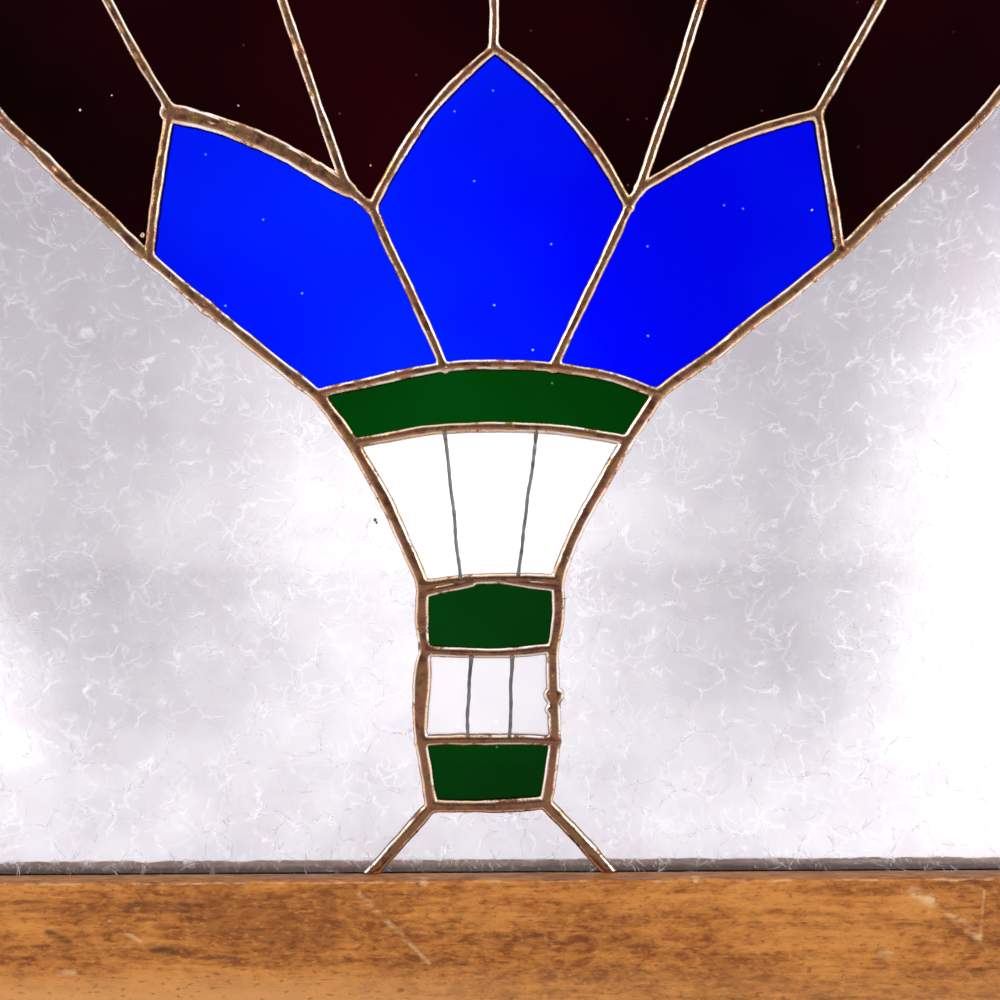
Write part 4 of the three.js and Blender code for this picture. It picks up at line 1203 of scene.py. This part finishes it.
def stained_wood(name, upright, dark_marks=(), pale_marks=()):
    """Softwood under an old orange-brown stain, blotched, worn pale along its edges with a painted highlight
    there, and with grime and painted shade by the glass.
    """
    material, tree, shader = begin(name, IOR=1.45, Specular_IOR_Level=0.25)
    place = where_on_piece(tree)
    where = place
    if upright:
        turned_place = put(tree, "SeparateXYZ", {0: place})
        where = put(tree, "CombineXYZ", {0: turned_place.outputs[2], 1: turned_place.outputs[1],
                                         2: turned_place.outputs[0]}).outputs[0]
    node = tree.nodes.new("ShaderNodeGroup")
    node.node_tree = grain
    tree.links.new(where, node.inputs["Where"])
    streaks, blotches, mottle, specks = [node.outputs[mask] for mask in GRAIN_MASKS]
    tone = blend(tree, spread(tree, streaks, 0.38, 0.62), STAIN_DEEP, STAIN_MIDDLE)
    tone = blend(tree, spread(tree, mottle, 0.42, 0.66, 0.0, 0.55), tone, STAIN_GOLD)
    tone = blend(tree, spread(tree, mottle, 0.47, 0.34, 0.0, 0.75), tone, (0.17, 0.052, 0.012))
    tone = blend(tree, spread(tree, blotches, 0.52, 0.70, 0.0, 0.55), tone, (0.19, 0.058, 0.014))
    gold = spread(tree, sums(tree, "SUBTRACT", streaks, blotches), 0.0, 0.16, 0.0, 0.55)
    tone = blend(tree, gold, tone, STAIN_GOLD)
    spots = put(tree, "SeparateXYZ", {0: place})
    if not upright:
        ragged = sums(tree, "ADD", spots.outputs[2], sums(tree, "MULTIPLY", streaks, 14 * MM))
        left = spread(tree, spots.outputs[0], 30 * MM, -90 * MM, 0.25, 0.85)
        pale_foot = sums(tree, "MULTIPLY", spread(tree, ragged, 50 * MM, 38 * MM), left)
        tone = blend(tree, pale_foot, tone, STAIN_PALE)
    tone = blend(tree, spread(tree, specks, 0.60, 0.70, 0.0, 0.5), tone, (0.10, 0.036, 0.012))
    tone = blend(tree, spread(tree, specks, 0.40, 0.30, 0.0, 0.45), tone, STAIN_GOLD)
    rough_edge = cloud(tree, stretched(tree, place, 110.0, 330.0), 1.0, 4.0, 0.6)
    for start, end, width in dark_marks:
        broken = spread(tree, rough_edge, 0.34, 0.60)
        share = sums(tree, "MULTIPLY", scratched(tree, place, start, end, width), broken)
        tone = blend(tree, sums(tree, "MULTIPLY", share, 0.75), tone, (0.08, 0.030, 0.012))
    for start, end, width in pale_marks:
        broken = spread(tree, rough_edge, 0.40, 0.58)
        share = sums(tree, "MULTIPLY", scratched(tree, place, start, end, width), broken)
        share = sums(tree, "MULTIPLY", share, min(0.85, 0.25 + 0.2 * width))
        tone = blend(tree, share, tone, (0.80, 0.52, 0.25))
    # Worn edges and a painted highlight: the corners of each member turn pale in broken lengths.
    wear = put(tree, "Attribute", attribute_name="wear").outputs["Fac"]
    ragged_wear_and_highlight = sums(tree, "ADD", wear, sums(tree, "MULTIPLY", rough_edge, 1.1))
    bare_wood_and_highlight = spread(tree, ragged_wear_and_highlight, 1.34, 1.58, 0.0, 0.85)
    tone = blend(tree, bare_wood_and_highlight, tone, (0.72, 0.46, 0.22))
    # Grime and painted shade on the faces round the opening.
    grime_and_shade = put(tree, "Attribute", attribute_name="grime_and_shade").outputs["Fac"]
    dirt_and_shade = blend(tree, spread(tree, rough_edge, 0.38, 0.62), (0.095, 0.045, 0.024), (0.24, 0.135, 0.078))
    # Painted shadow: a dark ragged line on the ledge behind the glass, along the groove.
    from_glass = sums(tree, "ADD", spots.outputs[1], sums(tree, "MULTIPLY", rough_edge, -6 * MM))
    groove_shadow = spread(tree, from_glass, 6.0 * MM, -1.0 * MM)
    foot = sums(tree, "MULTIPLY", groove_shadow, sums(tree, "GREATER_THAN", grime_and_shade, 0.8))
    dirt_and_shade = blend(tree, sums(tree, "MULTIPLY", foot, 0.95), dirt_and_shade, (0.014, 0.006, 0.003))
    feed(tree, blend(tree, grime_and_shade, tone, dirt_and_shade), shader, "Base Color")
    feed(tree, spread(tree, mottle, 0.3, 0.7, 0.62, 0.42), shader, "Roughness")
    add_bump(tree, shader, sums(tree, "ADD", streaks, mottle), 0.35 * MM, 0.5)
    return material


rail_wood = stained_wood("Stained wood, level", False, DARK_MARKS, PALE_MARKS)
stile_wood = stained_wood("Stained wood, upright", True)

# %% A member of the sash as a worn bar
ROUND = 1.2
EDGE_SKIN = 1.3
CHIPS = [((78.0, 74.6), 2.6, 1.0), ((169.5, 62.5), 2.4, 0.5),
         ((173.0, 66.5), 2.0, 0.4), ((-29.0, 74.8), 4.0, 0.35)]


def bar_section(width, fine):
    """The outline of a bar, from its inner edge (0) to its outer edge (width), with rounded corners."""
    corners = [(0, -DEPTH_HALF), (width, -DEPTH_HALF), (width, DEPTH_HALF), (0, DEPTH_HALF)]
    outline = []
    for number, (x, y) in enumerate(corners):
        ahead = np.array(corners[(number + 1) % 4]) - (x, y)
        back = np.array(corners[number - 1]) - (x, y)
        ahead, back = ahead / np.linalg.norm(ahead), back / np.linalg.norm(back)
        centre = np.array([x, y]) + ROUND * (ahead + back)
        for share in (0, 0.25, 0.5, 0.75, 1):
            angle = share * math.pi / 2
            outline.append(centre - ROUND * (math.cos(angle) * ahead + math.sin(angle) * back))
    outline = np.array(outline)
    dense = []
    for start, end in zip(outline, np.roll(outline, -1, axis=0)):
        count = max(1, int(np.linalg.norm(end - start) / fine))
        dense.extend(start + (end - start) * step / count for step in range(count))
    return np.array(dense)


def worn_bar(width, length, fine, step, dice_number):
    """Points of a bar as (from inner edge, depth, along) and its faces, with dents along its edges."""
    section = bar_section(width, fine)
    stations = np.linspace(0, length, int(length / step) + 1)
    count = len(section)
    points = np.empty((len(stations), count, 3))
    points[:, :, :2] = section
    points[:, :, 2] = stations[:, None]
    flat = points.reshape(-1, 3)
    corner_x = np.minimum(flat[:, 0], width - flat[:, 0])
    corner_y = DEPTH_HALF - np.abs(flat[:, 1])
    near_edge = np.clip(1 - np.hypot(corner_x, corner_y) / 3.2, 0, 1)
    bumps = np.array([noise.noise(Vector(place) * 0.09 + Vector((dice_number, 0, 0))) for place in flat])
    small = np.array([noise.noise(Vector(place) * 0.45 + Vector((0, dice_number, 0))) for place in flat])
    inward = np.stack([np.sign(width / 2 - flat[:, 0]) * (corner_x < EDGE_SKIN),
                       -np.sign(flat[:, 1]) * (corner_y < EDGE_SKIN)], axis=1)
    push = near_edge * np.clip(bumps + 0.1, 0, 1) * 0.9 + near_edge * np.clip(small, 0, 1) * 0.35
    push += 0.05 * (1 + small)
    flat[:, :2] += inward * push[:, None]
    faces = []
    for row in range(len(stations) - 1):
        for column in range(count):
            after = (column + 1) % count
            faces.append((row * count + column, (row + 1) * count + column,
                          (row + 1) * count + after, row * count + after))
    faces.append(tuple(range(count)))
    faces.append(tuple((len(stations) - 1) * count + column for column in range(count))[::-1])
    return flat, faces, near_edge


def make_member(name, width, length, place, material, fine, step, seed, groove):
    """Builds one member, turns it into place, cuts its groove and marks its worn parts and its parts with
    grime and painted shade.
    """
    flat, faces, near_edge = worn_bar(width, length, fine, step, seed)
    placed = place(flat)
    if name == "bottom_rail":
        for (x, z), reach, deep in CHIPS:
            gap = np.hypot(placed[:, 0] - x, (placed[:, 2] - z))
            dent = np.clip(1 - gap / reach, 0, 1) * (placed[:, 1] < -12)
            placed[:, 1] += dent * deep
            near_edge = np.maximum(near_edge, np.sqrt(dent) * 1.2)
    mesh = bpy.data.meshes.new("worn_" + name)
    mesh.from_pydata((placed * MM).tolist(), [], faces)
    mesh.attributes.new("wear", "FLOAT", "POINT").data.foreach_set("value", near_edge.astype(np.float32))
    mesh.update()
    member = into_scene("worn_" + name, mesh)
    box = bpy.data.meshes.new("groove")
    corners, sides = slab(*groove)
    box.from_pydata((corners * MM).tolist(), [], sides)
    combine(member, into_scene("groove", box), "DIFFERENCE")
    member.data.materials.clear()
    member.data.materials.append(material)
    for polygon in member.data.polygons:
        polygon.material_index = 0
    places = np.empty(len(member.data.vertices) * 3)
    member.data.vertices.foreach_get("co", places)
    places = places.reshape(-1, 3) / MM
    # Grime and painted shade: faces round the opening are darkened, fully behind the glass and less in front
    # of it.
    sills = {"bottom_rail": places[:, 2] > 73.6, "top_rail": places[:, 2] < 862,
             "stile_left": places[:, 0] > -295.2, "stile_right": places[:, 0] < 295.2}
    grime_and_shade = sills[name] * np.where(places[:, 1] > -3, 1.0, np.where(places[:, 1] > -15.9, 0.4, 0.0))
    member.data.attributes.new("grime_and_shade", "FLOAT", "POINT").data.foreach_set("value", grime_and_shade.astype(np.float32))
    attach(member, window_body)
    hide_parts(name)
    print(member.name, "triangles:", triangles_in(member.data))
    return member


# %% The four members
MEMBER_WIDTH = 55
SIGHT_TOP = RAIL_TOP + SIGHT_HEIGHT
SASH_TOP = SIGHT_TOP + MEMBER_WIDTH
GROOVE_LOW, GROOVE_HIGH = GLASS_DEPTH - 1.8, GLASS_DEPTH + 1.8
RAIL_HALF = HALF_SIGHT - 0.3
DEEP = HOLD + 1
OPEN = 9
FAR = 400
make_member(
    "bottom_rail", RAIL_TOP, 2 * RAIL_HALF,
    lambda p: np.stack([p[:, 2] - RAIL_HALF, p[:, 1], RAIL_TOP - p[:, 0]], axis=1),
    rail_wood, 2.0, 1.6, 3.1,
    ((-FAR, GROOVE_LOW, RAIL_TOP - DEEP), (FAR, GROOVE_HIGH, RAIL_TOP + OPEN)))
make_member(
    "top_rail", MEMBER_WIDTH, 2 * RAIL_HALF,
    lambda p: np.stack([RAIL_HALF - p[:, 2], p[:, 1], SIGHT_TOP + p[:, 0]], axis=1),
    rail_wood, 4.0, 4.0, 8.4,
    ((-FAR, GROOVE_LOW, SIGHT_TOP - OPEN), (FAR, GROOVE_HIGH, SIGHT_TOP + DEEP)))
make_member(
    "stile_left", MEMBER_WIDTH, SASH_TOP,
    lambda p: np.stack([-HALF_SIGHT - p[:, 0], p[:, 1], SASH_TOP - p[:, 2]], axis=1),
    stile_wood, 4.0, 4.0, 15.7,
    ((-HALF_SIGHT - DEEP, GROOVE_LOW, RAIL_TOP - DEEP), (-HALF_SIGHT + OPEN, GROOVE_HIGH, SIGHT_TOP + DEEP)))
make_member(
    "stile_right", MEMBER_WIDTH, SASH_TOP,
    lambda p: np.stack([HALF_SIGHT + p[:, 0], p[:, 1], p[:, 2]], axis=1),
    stile_wood, 4.0, 4.0, 22.9,
    ((HALF_SIGHT - OPEN, GROOVE_LOW, RAIL_TOP - DEEP), (HALF_SIGHT + DEEP, GROOVE_HIGH, SIGHT_TOP + DEEP)))
